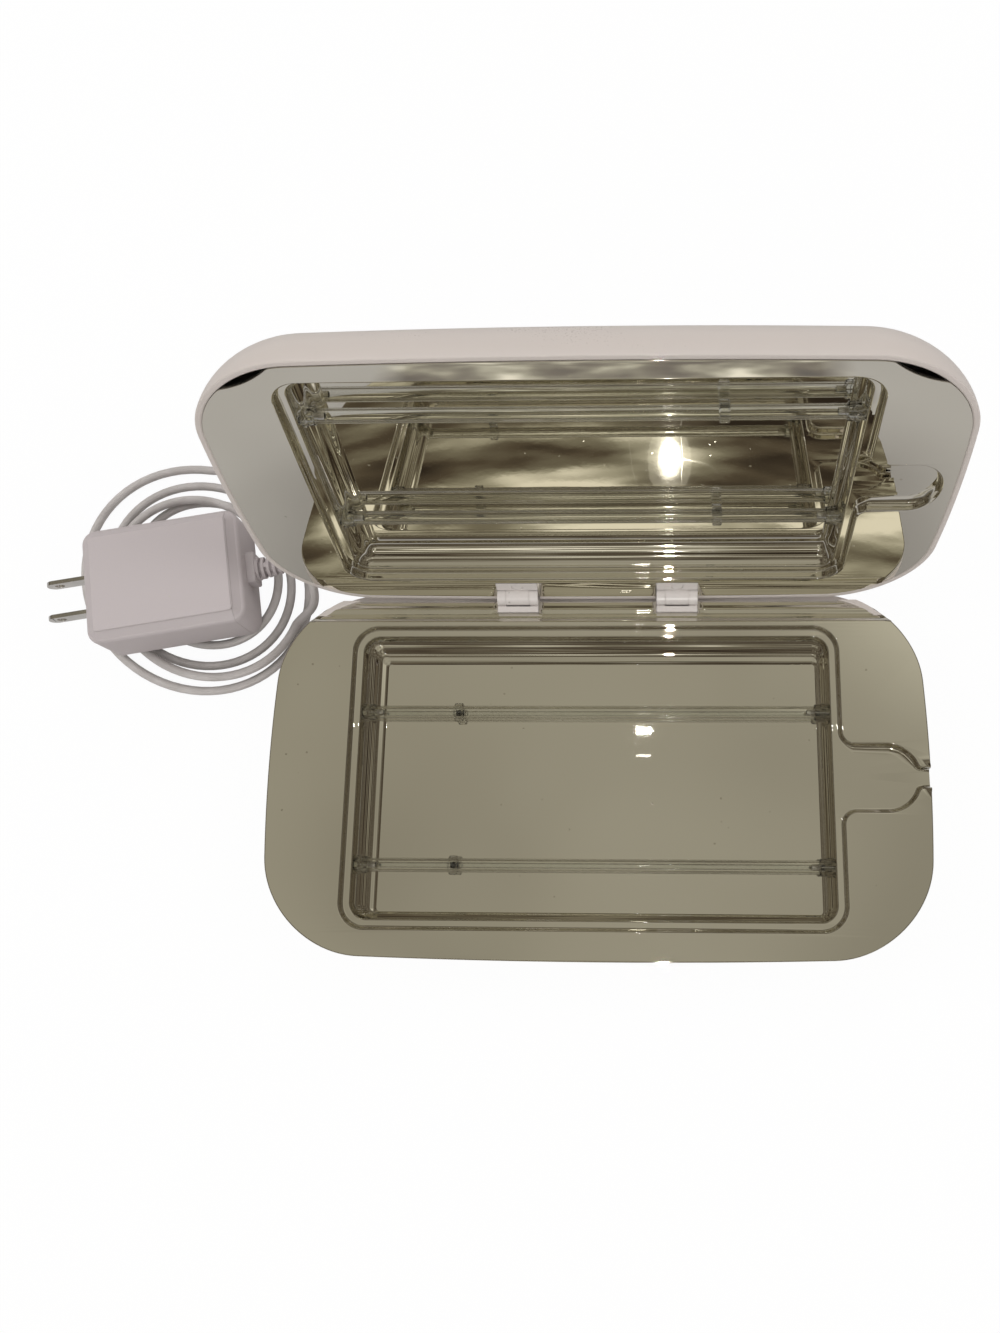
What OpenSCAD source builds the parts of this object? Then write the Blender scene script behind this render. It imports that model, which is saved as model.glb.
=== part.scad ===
// Clamshell lamp box for phones, shown open, with its wall adapter and cord.
// Millimetres. The origin is on the table, below the middle of the open box.
// Each half is drawn with its seam plane at z = 0 and its depth along -Z.

/* [Box outline] */
// Width over the bowed short sides
body_w = 226; // [218:1:240]
// Depth over the bowed long sides
body_d = 126.5; // [124:0.5:136]
// Corner radius seen from above
corner_r = 32; // [30:1:36]
// How far the short sides bow out
bow_x = 3.4; // [1:0.2:5]
// How far the long sides bow out
bow_y = 2.3; // [1:0.1:3.5]
// Height of one half, from its seam to its flat face
half_h = 23.8; // [23:0.2:27]
// Inward run of the rounded side
side_run = 23; // [20:0.5:26]
// Wall of the white shells
shell_wall = 2; // [1.6:0.1:2.6]
// Gap between the closed halves
seam_gap = 0.4; // [0.2:0.1:1]
// How far the feet stand below the base
foot_h = 1.2; // [0.8:0.2:3]

/* [Reflector] */
// Sheet thickness of the reflectors
liner_wall = 1.2; // [0.9:0.1:1.5]
// Rim to the left of the tray
rim_left = 27.4; // [26:0.2:30]
// Rim to the right of the tray
rim_right = 29.6; // [29:0.2:32]
// Rim in front of the tray
rim_front = 10.2; // [9.6:0.1:12]
// Rim behind the tray
rim_back = 14; // [13.2:0.1:16]
// Corner radius of the upper rim
tray_r = 8.5; // [7:0.5:11]
// Depth of the first step and of the cable pocket
step_depth = 3; // [2.4:0.1:3]
// Width of the ledge below the rim
ledge = 3; // [2.4:0.1:3.2]
// Depth of the tray floor
tray_depth = 10; // [9.6:0.1:10.8]
// Run of the tray's left wall, from the rim to the flat floor
run_left = 10.6; // [8:0.2:12]
// Run of the tray's right wall
run_right = 6.9; // [6:0.1:9]
// Run of the tray's front wall
run_front = 5.2; // [4.6:0.2:7]
// Run of the tray's back wall
run_back = 11.6; // [9:0.2:13]
// Radius of the cable pocket's round end
pocket_r = 11.2; // [10:0.2:12]
// Distance of the pocket's round end from the box's side
pocket_inset = 14.7; // [14.5:0.1:17]
// Centre line of the cable pocket
pocket_y = -2.7; // [-4:0.1:-2]
// Radius of the pocket's flared corners
flare_r = 4.5; // [3:0.5:6]
// Width of the slot that lets a cable out
slot_w = 6.4; // [5:0.2:8]
// Clearance round the lid's reflector
lid_liner_gap = 0.2; // [0.1:0.05:0.4]
// Corner radius of the lid reflector's front corners
lid_front_r = 37; // [34:1:38]

/* [Lamps] */
// Lamp tube diameter
lamp_d = 4.6; // [4:0.1:5]
// Wall of the lamp tube
lamp_wall = 0.7; // [0.5:0.1:1]
// Depth of the lamps below the seam
lamp_depth = 6; // [5.8:0.1:6.4]
// Distance of the front lamps from the tray's front rim
lamp_front_in = 20.7; // [17:0.1:25]
// Distance of the rear lamps from the tray's back rim
lamp_rear_in = 29.3; // [25:0.1:33]
// Outer diameter of the rubber grommets
grommet_d = 5.8; // [5.6:0.1:6]
// Length of a grommet
grommet_l = 8; // [7:0.5:10]
// How far a grommet shows inside the tray
grommet_in = 3.6; // [2:0.2:5]
// Length of a lamp beyond its grommet
lamp_tail = 1.5; // [1:0.5:3]
// Length of a lamp's end cap
cap_l = 4; // [3:0.5:6]
// Width of a lamp saddle
saddle_w = 3; // [2:0.5:4]
// Place of the saddles in the base
base_saddle_x = -50; // [-60:1:-40]
// Place of the saddles in the lid
lid_saddle_x = 39; // [30:1:50]
// Clearance of sliding fits
fit_gap = 0.05; // [0.02:0.01:0.1]

/* [Hinge] */
// How far the lid stands open
open_angle = 106.6; // [90:0.2:108]
// Distance of the hinge axis from the back edge
axis_inset = 2.85; // [2.6:0.05:3.1]
// Distance of the knuckles from the middle
knuckle_x = 28; // [24:1:34]
// Width of a knuckle
knuckle_w = 14.3; // [12:0.1:16]
// Width of the lid's barrel
barrel_w = 7.9; // [6:0.1:9]
// Barrel radius
barrel_r = 3.2; // [3:0.1:3.3]
// Hinge pin radius
pin_r = 1.25; // [1:0.05:1.5]
// Front edge of the base knuckles, from the hinge axis
base_leaf = 5.7; // [5:0.1:7]
// Front edge of the lid knuckles, from the hinge axis
lid_leaf = 8.2; // [7:0.1:9]
// Side gap beside moving hinge parts
side_gap = 0.3; // [0.2:0.05:0.5]
// Depth of the rear groove that the lid's edge turns into
groove_depth = 4.2; // [4:0.1:5]
// Distance of the reflector's rear lip from the hinge axis
lip_inset = 1.2; // [1:0.1:1.6]

/* [Electrics] */
// Distance of the port bay's middle from the box's left side
bay_inset = 54; // [50:1:60]
// Width of the port bay
bay_w = 38; // [36:1:42]
// Distance between the power socket and the charging port
port_pitch = 18; // [17:0.5:20]
// Thickness of the circuit boards
board_t = 1.6; // [1.2:0.1:2]
// Power plug's barrel radius
plug_r = 2.75; // [2.5:0.05:3]
// Length of the power plug's barrel
plug_l = 7.2; // [6:0.2:8]

/* [Adapter and cord] */
// Length of the adapter case
adapter_l = 56; // [50:1:64]
// Width of the adapter case
adapter_w = 42; // [38:1:48]
// Thickness of the adapter case
adapter_h = 27; // [24:1:30]
// Thickness of the adapter's end cap
end_cap = 4; // [3:0.5:6]
// Cord diameter
cord_d = 3.2; // [2.8:0.1:3.4]

/* [Hidden] */
$fn = 48;

// Small overlap that keeps cuts clean
eps = 0.01;
// Rings of the rounded side, by angle from the seam to the flat face
side_steps = [0, 10, 20, 30, 41, 53, 65, 77, 90];
// Rings of the tray wall, by angle from the ledge to the floor
cove_steps = [0, 18, 36, 54, 72, 90];
// Segments in each corner and along each side of an outline
corner_n = 8;
edge_n = 6;

// Edges of the tray's upper rim and of its flat floor
tray_left = -body_w / 2 + rim_left;
tray_right = body_w / 2 - rim_right;
tray_front = -body_d / 2 + rim_front;
tray_back = body_d / 2 - rim_back;
floor_left = tray_left + run_left;
floor_right = tray_right - run_right;
floor_front = tray_front + run_front;
floor_back = tray_back - run_back;
pocket_x = body_w / 2 - pocket_inset;
lamp_front = tray_front + lamp_front_in;
lamp_rear = tray_back - lamp_rear_in;

// Height of the base's seam above the table
seam_z = foot_h + half_h;
// Height of the lid's seam plane when the box is closed
lid_z = seam_z + seam_gap;
// Place of the hinge axis
axis_y = body_d / 2 - axis_inset;
axis_z = seam_z + seam_gap / 2;
// Middle of the open box, front to back, measured over the lid's rounded front
lid_back = axis_y + max([for (a = side_steps) side_reach(a)]);
mid_y = (lid_back - body_d / 2) / 2;
function side_reach(a) = let (
        y = -body_d + axis_inset + side_run * (1 - cos(a)),
        z = seam_gap / 2 + half_h * sin(a)
    ) y * cos(open_angle) + z * sin(open_angle);

white = "#e6dedb";
mirror_grey = "#b9b59f";
rubber = "#2b2a2a";
glass = "#d7dcd9";
steel = "#c4c6c8";
board_green = "#2f5c3a";
cord_grey = "#d2cdc9";

// One outline point, moved in where the sides bow
function bowed(p, w, d, bx, by) = [
    p[0] * (1 - 2 * bx / w * pow(2 * p[1] / d, 2)),
    p[1] * (1 - 2 * by / d * pow(2 * p[0] / w, 2))
];
function corner_sign(q) = [(q == 0 || q == 3) ? 1 : -1, q < 2 ? 1 : -1];
function corner_mid(q, w, d, r) = let (s = corner_sign(q)) [s[0] * (w / 2 - r[q]), s[1] * (d / 2 - r[q])];
function unit_at(a) = [cos(a), sin(a)];
// Rounded rectangle with one radius for each corner, counter-clockwise from the right
function outline(w, d, r, bx = 0, by = 0) = [
    for (q = [0:3])
        let (
            mid = corner_mid(q, w, d, r),
            next = (q + 1) % 4,
            from = mid + r[q] * unit_at(90 * (q + 1)),
            to = corner_mid(next, w, d, r) + r[next] * unit_at(90 * (q + 1))
        )
        each concat(
            [for (i = [0:corner_n]) bowed(mid + r[q] * unit_at(90 * (q + i / corner_n)), w, d, bx, by)],
            [for (i = [1:edge_n - 1]) bowed(from + (to - from) * i / edge_n, w, d, bx, by)]
        )
];
function same_r(r) = [r, r, r, r];
function body_ring(inset) = outline(body_w - 2 * inset, body_d - 2 * inset,
    same_r(max(corner_r - inset, 2)), bow_x, bow_y);
function at_height(ring, z) = [for (p = ring) [p[0], p[1], z]];
function moved(ring, x, y) = [for (p = ring) [p[0] + x, p[1] + y]];
function mix(a, b, t) = a + (b - a) * t;

// Solid through a stack of rings that all have the same number of points, lowest first
module loft(rings) {
    n = len(rings[0]);
    m = len(rings);
    polyhedron(
        points = [for (r = rings) each r],
        faces = concat(
            [[for (i = [0:n - 1]) i]],
            [[for (i = [n - 1:-1:0]) (m - 1) * n + i]],
            [for (k = [0:m - 2], i = [0:n - 1]) let (j = (i + 1) % n) each [
                [k * n + i, (k + 1) * n + i, (k + 1) * n + j],
                [k * n + i, (k + 1) * n + j, k * n + j]
            ]]
        )
    );
}
// Rounded half body: top is its upper plane, grown inward by wall for the cavity
module half_solid(top, wall = 0, over = 0) {
    run = side_run - wall;
    h = half_h + top - wall;
    rings = [for (i = [len(side_steps) - 1:-1:0]) let (a = side_steps[i])
        at_height(body_ring(wall + run * (1 - cos(a))), top - h * sin(a))];
    loft(over > 0 ? concat(rings, [at_height(body_ring(wall), top + over)]) : rings);
}
module rounded_rect(x0, x1, y0, y1, r) {
    translate([x0 + r, y0]) square([x1 - x0 - 2 * r, y1 - y0]);
    translate([x0, y0 + r]) square([x1 - x0, y1 - y0 - 2 * r]);
    for (x = [x0 + r, x1 - r], y = [y0 + r, y1 - r]) translate([x, y]) circle(r);
}
// Plan of the first step: the tray's rim with the cable pocket at its right, grown by g
module step_plan(g = 0) {
    rounded_rect(tray_left - g, tray_right + g, tray_front - g, tray_back + g, tray_r + g);
    translate([pocket_x, pocket_y]) circle(pocket_r + g);
    translate([tray_right - ledge, pocket_y - pocket_r - g])
        square([pocket_x - tray_right + ledge, 2 * (pocket_r + g)]);
    for (s = [-1, 1]) difference() {
        translate([tray_right, pocket_y + s * (pocket_r + flare_r / 2)])
            square([2 * flare_r, flare_r + 2 * g], center = true);
        translate([tray_right + flare_r, pocket_y + s * (pocket_r + flare_r)]) circle(flare_r - g);
    }
}
// Side view of the tray: coved walls from the ledges a0 and b0 to the floor's edges a1 and b1
function tray_profile(a0, a1, b0, b1, g, over) = let (h = tray_depth - step_depth + g) concat(
    [for (a = cove_steps) [mix(a0, a1, 1 - cos(a)) - g, -step_depth - h * sin(a)]],
    [for (i = [len(cove_steps) - 1:-1:0]) let (a = cove_steps[i])
        [mix(b0, b1, 1 - cos(a)) + g, -step_depth - h * sin(a)]],
    over > 0 ? [[b0 + g, over - step_depth], [a0 - g, over - step_depth]] : []
);
// The tray below its ledge, as a solid grown by g and opened upwards by over
module tray_solid(g = 0, over = 0) {
    x = [tray_left + ledge, tray_right - ledge];
    y = [tray_front + ledge, tray_back - ledge];
    intersection() {
        rotate([90, 0, 0]) linear_extrude(2 * body_d, center = true)
            polygon(tray_profile(x[0], floor_left, x[1], floor_right, g, over));
        rotate([90, 0, 90]) linear_extrude(2 * body_w, center = true)
            polygon(tray_profile(y[0], floor_front, y[1], floor_back, g, over));
        translate([0, 0, -2 * tray_depth]) linear_extrude(4 * tray_depth)
            rounded_rect(x[0] - g, x[1] + g, y[0] - g, y[1] + g, tray_r - ledge + g);
    }
}
// A rod along X
module rod(x0, x1, r, y = 0, z = 0) {
    translate([x0, y, z]) rotate([0, 90, 0]) cylinder(h = x1 - x0, r = r);
}
module box(x, y, z) {
    translate([x[0], y[0], z[0]]) cube([x[1] - x[0], y[1] - y[0], z[1] - z[0]]);
}
function around(c, h) = [c - h, c + h];
module at_knuckles() {
    for (s = [-1, 1]) translate([s * knuckle_x, 0, 0]) children();
}

// Places for the base, which keeps its depth downwards
module base_place() {
    translate([0, -mid_y, seam_z]) children();
}
// Places for the lid: turned over, then swung open about the hinge axis
module lid_place() {
    translate([0, axis_y - mid_y, axis_z]) rotate([-open_angle, 0, 0])
        translate([0, -axis_y, lid_z - axis_z]) mirror([0, 0, 1]) children();
}

// Height of the hinge axis in either half's own frame
axis_h = seam_gap / 2;
// Back edge of the base's reflector, and the floor of the groove behind it
lip_y = axis_y - lip_inset;
groove_z = -groove_depth;
// Half width of the cuts that the knuckles pass through
knuckle_cut = knuckle_w / 2 + side_gap;

// Screw places under the base, and post places in the lid
screw_x = tray_left - liner_wall - 5.4;
screw_xs = [screw_x, -screw_x];
screw_ys = [lamp_front + 10.4, lamp_rear + 9];
boss_r = 3.6;
boss_l = 7;
screw_r = 1.4;
head_r = 2.8;
head_h = 2;
head_z = -half_h + 7.5;

// Reflector shared by both halves: flange plan below, then step and tray
module reflector() {
    difference() {
        union() {
            translate([0, 0, -liner_wall]) linear_extrude(liner_wall) children();
            translate([0, 0, -step_depth - liner_wall])
                linear_extrude(step_depth + liner_wall / 2) step_plan(liner_wall);
            tray_solid(liner_wall);
        }
        translate([0, 0, -step_depth]) linear_extrude(step_depth + 1) step_plan();
        tray_solid(0, step_depth + 1);
        box([pocket_x + pocket_r - 2, body_w / 2 + 1], around(pocket_y, slot_w / 2), [-step_depth, 1]);
        for (y = [lamp_front, lamp_rear])
            rod(tray_left - 4, tray_right + 4, grommet_d / 2 + fit_gap, y, -lamp_depth);
    }
}
module lamp(y) {
    difference() {
        rod(lamp_x0, lamp_x1, lamp_d / 2, y, -lamp_depth);
        rod(lamp_x0 + 2, lamp_x1 - 2, lamp_d / 2 - lamp_wall, y, -lamp_depth);
    }
}
// Inner face of the tray's end walls at the lamps' depth
lamp_turn = 1 - cos(asin((lamp_depth - step_depth) / (tray_depth - step_depth)));
wall_left = mix(tray_left + ledge, floor_left, lamp_turn);
wall_right = mix(tray_right - ledge, floor_right, lamp_turn);
grommet_x = [wall_left + grommet_in - grommet_l, wall_right - grommet_in];
lamp_x0 = grommet_x[0] - lamp_tail;
lamp_x1 = grommet_x[1] + grommet_l + lamp_tail;

module lamp_caps() {
    for (y = [lamp_front, lamp_rear], x = [lamp_x0 - cap_l, lamp_x1])
        rod(x, x + cap_l, lamp_d / 2 - 0.1, y, -lamp_depth);
}
module grommets() {
    for (y = [lamp_front, lamp_rear], x = grommet_x) difference() {
        rod(x, x + grommet_l, grommet_d / 2, y, -lamp_depth);
        rod(x - 1, x + grommet_l + 1, lamp_d / 2 + fit_gap, y, -lamp_depth);
    }
}
// A clear ring round each lamp, standing on the tray floor
module saddles(x) {
    for (y = [lamp_front, lamp_rear]) difference() {
        union() {
            rod(x, x + saddle_w, lamp_d / 2 + 0.9, y, -lamp_depth);
            box([x, x + saddle_w], around(y, 1.8), [-tray_depth, -lamp_depth]);
        }
        rod(x - 1, x + saddle_w + 1, lamp_d / 2 + fit_gap, y, -lamp_depth);
    }
}

// Height of the base shell's rim, below the reflector's flange
rim_z = -liner_wall;
// Port bay in the base's rear wall
bay_z = [-half_h + 6.6, -half_h + 17.2];
panel_y = body_d / 2 - 7;
panel_t = 1.6;
bay_x = bay_inset - body_w / 2;
socket_x = bay_x - port_pitch / 2;
usb_x = bay_x + port_pitch / 2;
// Board under the tray, and the ports that stand on it
board_z = -half_h + shell_wall + 3.8;
board_top = board_z + board_t;
board_x = around(bay_x, 25);
board_y = [panel_y - 52, panel_y - 7];
// Room between the board and the tray
part_room = -tray_depth - liner_wall - board_top;
socket_size = 8;
socket_l = 7.4;
usb_l = 10.4;
port_z = board_top + socket_size / 2;
usb_w = 13.2;
usb_h = 5.8;
usb_wall = 0.5;

module base_shell() color(white) base_place() {
    difference() {
        union() {
            difference() {
                half_solid(rim_z);
                half_solid(rim_z, shell_wall, 1);
            }
            intersection() {
                half_solid(rim_z);
                union() {
                    box([-body_w / 2, body_w / 2], [lip_y - 3, body_d / 2], [groove_z - 2, groove_z]);
                    for (x = screw_xs, y = screw_ys)
                        translate([x, y, -half_h]) cylinder(h = half_h + rim_z - boss_l, r = boss_r);
                    for (x = [board_x[0] + 4, board_x[1] - 4], y = [board_y[0] + 4, board_y[1] - 4])
                        translate([x, y, -half_h]) cylinder(h = board_z + half_h, r = 2.2);
                    box(around(bay_x, bay_w / 2 + 1.5), [panel_y - panel_t, body_d / 2],
                        bay_z + [-1.5, 1.5]);
                }
            }
        }
        box([-body_w, body_w], [lip_y, body_d], [groove_z, 1]);
        box(around(bay_x, bay_w / 2), [panel_y - panel_t - 1.8, body_d], bay_z);
        box([body_w / 2 - 6, body_w], around(pocket_y, slot_w / 2), [-step_depth, 1]);
        at_knuckles() box(knuckle_w / 2 * [-1, 1], [axis_y - base_leaf, body_d], [groove_z, 1]);
        for (x = screw_xs, y = screw_ys) translate([x, y, 0]) {
            translate([0, 0, -half_h - 1]) cylinder(h = half_h + 2, r = screw_r + 0.2);
            translate([0, 0, -half_h - 1]) cylinder(h = head_z + half_h + 1, r = head_r + 0.3);
        }
        for (x = foot_xs, y = foot_ys)
            translate([x, y, -half_h - 1]) cylinder(h = 1 + foot_sink, r = foot_r + fit_gap);
    }
}
foot_r = 6;
foot_xs = around(0, body_w / 2 - side_run - foot_r - 10);
foot_ys = around(0, body_d / 2 - side_run - foot_r - 0.75);
foot_sink = 0.8;

module rubber_feet() color(rubber) base_place()
    for (x = foot_xs, y = foot_ys) translate([x, y, -seam_z]) {
        cylinder(h = foot_h + foot_sink, r = foot_r);
    }

module base_screws() color(steel) base_place()
    for (x = screw_xs, y = screw_ys) translate([x, y, 0]) difference() {
        union() {
            translate([0, 0, head_z - head_h]) cylinder(h = head_h, r = head_r);
            translate([0, 0, head_z - eps]) cylinder(h = rim_z - 1.5 - head_z, r = screw_r);
        }
        for (a = [0, 90]) rotate(a) translate([0, 0, head_z - head_h + 0.4])
            cube([3.2, 0.7, 1.6], center = true);
    }

module base_liner() color(mirror_grey) base_place() {
    difference() {
        union() {
            reflector() polygon(body_ring(0));
            intersection() {
                half_solid(0);
                box(around(0, body_w / 2 - corner_r + 6), [lip_y - liner_wall, lip_y],
                    [groove_z + fit_gap, -liner_wall / 2]);
            }
            for (x = screw_xs, y = screw_ys)
                translate([x, y, rim_z - boss_l]) cylinder(h = boss_l + liner_wall / 2, r = boss_r);
        }
        box([-body_w, body_w], [lip_y, body_d], [groove_z - 1, 1]);
        at_knuckles() box((knuckle_w / 2 + 0.15) * [-1, 1],
            [axis_y - base_leaf - 0.15, body_d], [groove_z - 1, 1]);
        for (x = screw_xs, y = screw_ys)
            translate([x, y, rim_z - boss_l - 1]) cylinder(h = boss_l, r = screw_r + fit_gap);
        lip_round();
    }
}
// Rounds the top of the reflector's rear lip
module lip_round() {
    r = 2.4;
    difference() {
        box([-body_w, body_w], [lip_y - r, lip_y + 1], [-r, 1]);
        rod(-body_w - 1, body_w + 1, r, lip_y - r, -r);
    }
}

// Block and two ears that hold each hinge pin
module base_knuckles() color(white) base_place() at_knuckles() {
    difference() {
        union() {
            box(knuckle_w / 2 * [-1, 1], [axis_y - base_leaf, axis_y - barrel_r - 0.5], [groove_z, 0]);
            box(knuckle_w / 2 * [-1, 1], [axis_y - base_leaf, axis_y + barrel_r / 4],
                [groove_z, groove_z + 0.6]);
            for (s = [-1, 1]) intersection() {
                box(around(s * (knuckle_w - ear_w) / 2, ear_w / 2),
                    around(axis_y, 2 * barrel_r), [groove_z, 2 * barrel_r]);
                union() {
                    rod(-knuckle_w, knuckle_w, barrel_r, axis_y, axis_h);
                    box(knuckle_w * [-1, 1], [axis_y - barrel_r - 1, axis_y + barrel_r / 4],
                        [groove_z, axis_h - 0.8]);
                }
            }
        }
        rod(-knuckle_w, knuckle_w, pin_r + 0.02, axis_y, axis_h);
    }
}
ear_w = (knuckle_w - barrel_w) / 2 - side_gap;

module hinge_pins() color(steel) base_place() at_knuckles()
    rod(-knuckle_w / 2, knuckle_w / 2, pin_r, axis_y, axis_h);

module base_lamp_front() color(glass) base_place() lamp(lamp_front);
module base_lamp_rear() color(glass) base_place() lamp(lamp_rear);
module base_lamp_caps() color(steel) base_place() lamp_caps();
module base_grommets() color(rubber) base_place() grommets();
module base_saddles() color(glass, 0.6) base_place() saddles(base_saddle_x);

module circuit_board() color(board_green) base_place() difference() {
    box(board_x, board_y, [board_z, board_top]);
    for (x = [board_x[0] + 4, board_x[1] - 4], y = [board_y[0] + 4, board_y[1] - 4])
        translate([x, y, board_z - 1]) cylinder(h = board_t + 2, r = 1.1);
}
module transformer() color("#3a3430") base_place() {
    x = (board_x[0] + board_x[1]) / 2;
    y = board_y[0] + 12;
    foot = board_top + 0.24 * part_room;
    box(around(x, 10), around(y, 7), [board_top, foot]);
    box(around(x, 7), around(y, 6), [foot - eps, board_top + 0.9 * part_room]);
    box(around(x, 10), around(y, 3), [foot - eps, board_top + 0.78 * part_room]);
}
module capacitors() color("#26323f") base_place()
    for (i = [0:2]) translate([board_x[0] + 6 + 6.6 * i, board_y[0] + 28 - 18 * (i % 2), board_top])
        cylinder(h = 0.85 * part_room, r = 2.4);
module port_panel() color("#d9d3cf") base_place() difference() {
    box(around(bay_x, bay_w / 2 - fit_gap), [panel_y - panel_t, panel_y], bay_z + fit_gap * [1, -1]);
    translate([socket_x, panel_y + 1, port_z]) rotate([90, 0, 0]) cylinder(h = panel_t + 2, r = plug_r + 1.2);
    box(around(usb_x, usb_w / 2 + 0.1), [panel_y - panel_t - 1, panel_y + 1],
        [board_top - 0.1, board_top + usb_h + 0.1]);
}
// Power socket with a round hole for the plug's barrel
module power_socket() color(rubber) base_place() difference() {
    box(around(socket_x, socket_size / 2), [panel_y - panel_t - socket_l, panel_y - panel_t],
        [board_top, board_top + socket_size]);
    translate([socket_x, panel_y, port_z]) rotate([90, 0, 0]) cylinder(h = panel_t + socket_l - 0.8, r = plug_r + 0.1);
}
// Charging port: a folded metal shell round a tongue
module usb_port() color(steel) base_place() {
    y = [panel_y - usb_l - 0.4, panel_y - 0.4];
    difference() {
        box(around(usb_x, usb_w / 2), y, [board_top, board_top + usb_h]);
        box(around(usb_x, usb_w / 2 - usb_wall), [y[0] + 1, y[1] + 1],
            [board_top + usb_wall, board_top + usb_h - usb_wall]);
    }
    box(around(usb_x, 5.4), [y[0] + 0.9, y[1] - 2],
        [board_top + usb_h - 2.3, board_top + usb_h - usb_wall + eps]);
}
sensor_x = body_w / 2 - 43;
sensor_y = tray_front - liner_wall - 2.9;
module lid_sensor() color(rubber) base_place()
    box(around(sensor_x, 2), around(sensor_y, 1.6), [rim_z - 1.6, rim_z]);

// Lid: the same halves, with the reflector set inside the shell's rim
liner_inset = shell_wall + lid_liner_gap;
function lid_liner_ring() = outline(body_w - 2 * liner_inset, body_d - 2 * liner_inset,
    [corner_r - liner_inset, corner_r - liner_inset, lid_front_r, lid_front_r], bow_x, bow_y);
post_r = 1.9;
knuckle_h = 6.6;
knuckle_screw_y = axis_y - lid_leaf + 2.4;
module lid_shell() color(white) lid_place() {
    difference() {
        union() {
            difference() {
                half_solid(0);
                half_solid(0, shell_wall, 1);
            }
            intersection() {
                half_solid(0);
                union() {
                    for (x = screw_xs, y = screw_ys) translate([x, y, -half_h]) {
                        cylinder(h = half_h - liner_wall - boss_l, r = boss_r);
                        cylinder(h = half_h - liner_wall - 2.5, r = post_r);
                    }
                    at_knuckles() translate([0, knuckle_screw_y, -half_h])
                        cylinder(h = half_h - knuckle_h, r = 2.3);
                    for (x = lid_board_x + [3, -3], y = lid_board_y + [3, -3])
                        translate([x, y, -half_h]) cylinder(h = half_h + lid_board_z - board_t, r = 1.8);
                }
            }
        }
        at_knuckles() {
            rod(-knuckle_cut, knuckle_cut, barrel_r + side_gap, axis_y, axis_h);
            box(knuckle_cut * [-1, 1], [axis_y - lid_leaf, axis_y], [-3, 1]);
            box((knuckle_w / 2 + 0.15) * [-1, 1], [axis_y - lid_leaf - 0.2, axis_y - 1], [-knuckle_h, 1]);
            translate([0, knuckle_screw_y, -knuckle_h - 6]) cylinder(h = 7, r = 0.9);
        }
        box([body_w / 2 - 6, body_w], around(pocket_y, slot_w / 2), [-step_depth, 1]);
        translate([0, lens_y, -half_h - 1]) cylinder(h = shell_wall + 2, r = lens_r + fit_gap);
    }
}
lens_y = tray_front + 25;
lens_r = 3;
lid_board_x = [-30, 12];
lid_board_y = [lens_y - 8, lens_y + 14];
lid_board_z = -tray_depth - liner_wall - 5.4;

module lid_liner() color(mirror_grey) lid_place() {
    difference() {
        union() {
            reflector() polygon(lid_liner_ring());
            for (x = screw_xs, y = screw_ys)
                translate([x, y, -liner_wall - boss_l]) cylinder(h = boss_l + liner_wall / 2, r = boss_r);
        }
        at_knuckles() box((knuckle_w / 2 + 0.15) * [-1, 1],
            [axis_y - lid_leaf - 0.15, body_d], [-knuckle_h, 1]);
        for (x = screw_xs, y = screw_ys)
            translate([x, y, -liner_wall - boss_l - 1]) cylinder(h = boss_l, r = post_r + fit_gap);
    }
}
// Leaf and barrel that carry the lid on each pin
module lid_knuckles() color(white) lid_place() at_knuckles() {
    difference() {
        union() {
            box(knuckle_w / 2 * [-1, 1], [axis_y - lid_leaf, axis_y - barrel_r - 0.6], [-knuckle_h, 0]);
            rod(-barrel_w / 2, barrel_w / 2, barrel_r, axis_y, axis_h);
            box(barrel_w / 2 * [-1, 1], [axis_y - barrel_r - 0.7, axis_y], [axis_h - barrel_r, axis_h - 0.6]);
        }
        rod(-knuckle_w, knuckle_w, pin_r + fit_gap, axis_y, axis_h);
        translate([0, knuckle_screw_y, -knuckle_h - 1]) cylinder(h = knuckle_h + 2, r = 1.2);
        translate([0, knuckle_screw_y, -knuckle_h + 3]) cylinder(h = knuckle_h, r = 2.1);
    }
}
module knuckle_screws() color(steel) lid_place() at_knuckles() translate([0, knuckle_screw_y, 0]) {
    translate([0, 0, -knuckle_h + 3]) cylinder(h = 1.4, r = 1.9);
    translate([0, 0, -knuckle_h - 5]) cylinder(h = 8 + eps, r = 0.85);
}
module lid_lamp_front() color(glass) lid_place() lamp(lamp_front);
module lid_lamp_rear() color(glass) lid_place() lamp(lamp_rear);
module lid_lamp_caps() color(steel) lid_place() lamp_caps();
module lid_grommets() color(rubber) lid_place() grommets();
module lid_saddles() color(glass, 0.6) lid_place() saddles(lid_saddle_x);
module lid_board() color(board_green) lid_place()
    box(lid_board_x, lid_board_y, [lid_board_z - board_t, lid_board_z]);
module lid_transformer() color("#3a3430") lid_place() {
    y = lens_y + 3;
    box([-26, -10], around(y, 6), [lid_board_z, lid_board_z + 1]);
    box([-23, -13], around(y, 5), [lid_board_z + 1 - eps, lid_board_z + 4.4]);
}
// Lamp that tells when a cycle runs: a clear pin from the board to the lid's top
module indicator_lens() color("#e9f0f4", 0.8) lid_place() translate([0, lens_y, 0]) {
    translate([0, 0, -half_h]) cylinder(h = shell_wall, r = lens_r);
    translate([0, 0, -half_h + shell_wall - eps])
        cylinder(h = half_h - shell_wall + lid_board_z - board_t - fit_gap, r = lens_r - 1.2);
}
module lid_magnet() color(steel) lid_place()
    translate([sensor_x, sensor_y, -liner_wall - 3]) cylinder(h = 3, r = 2.4);

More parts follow.
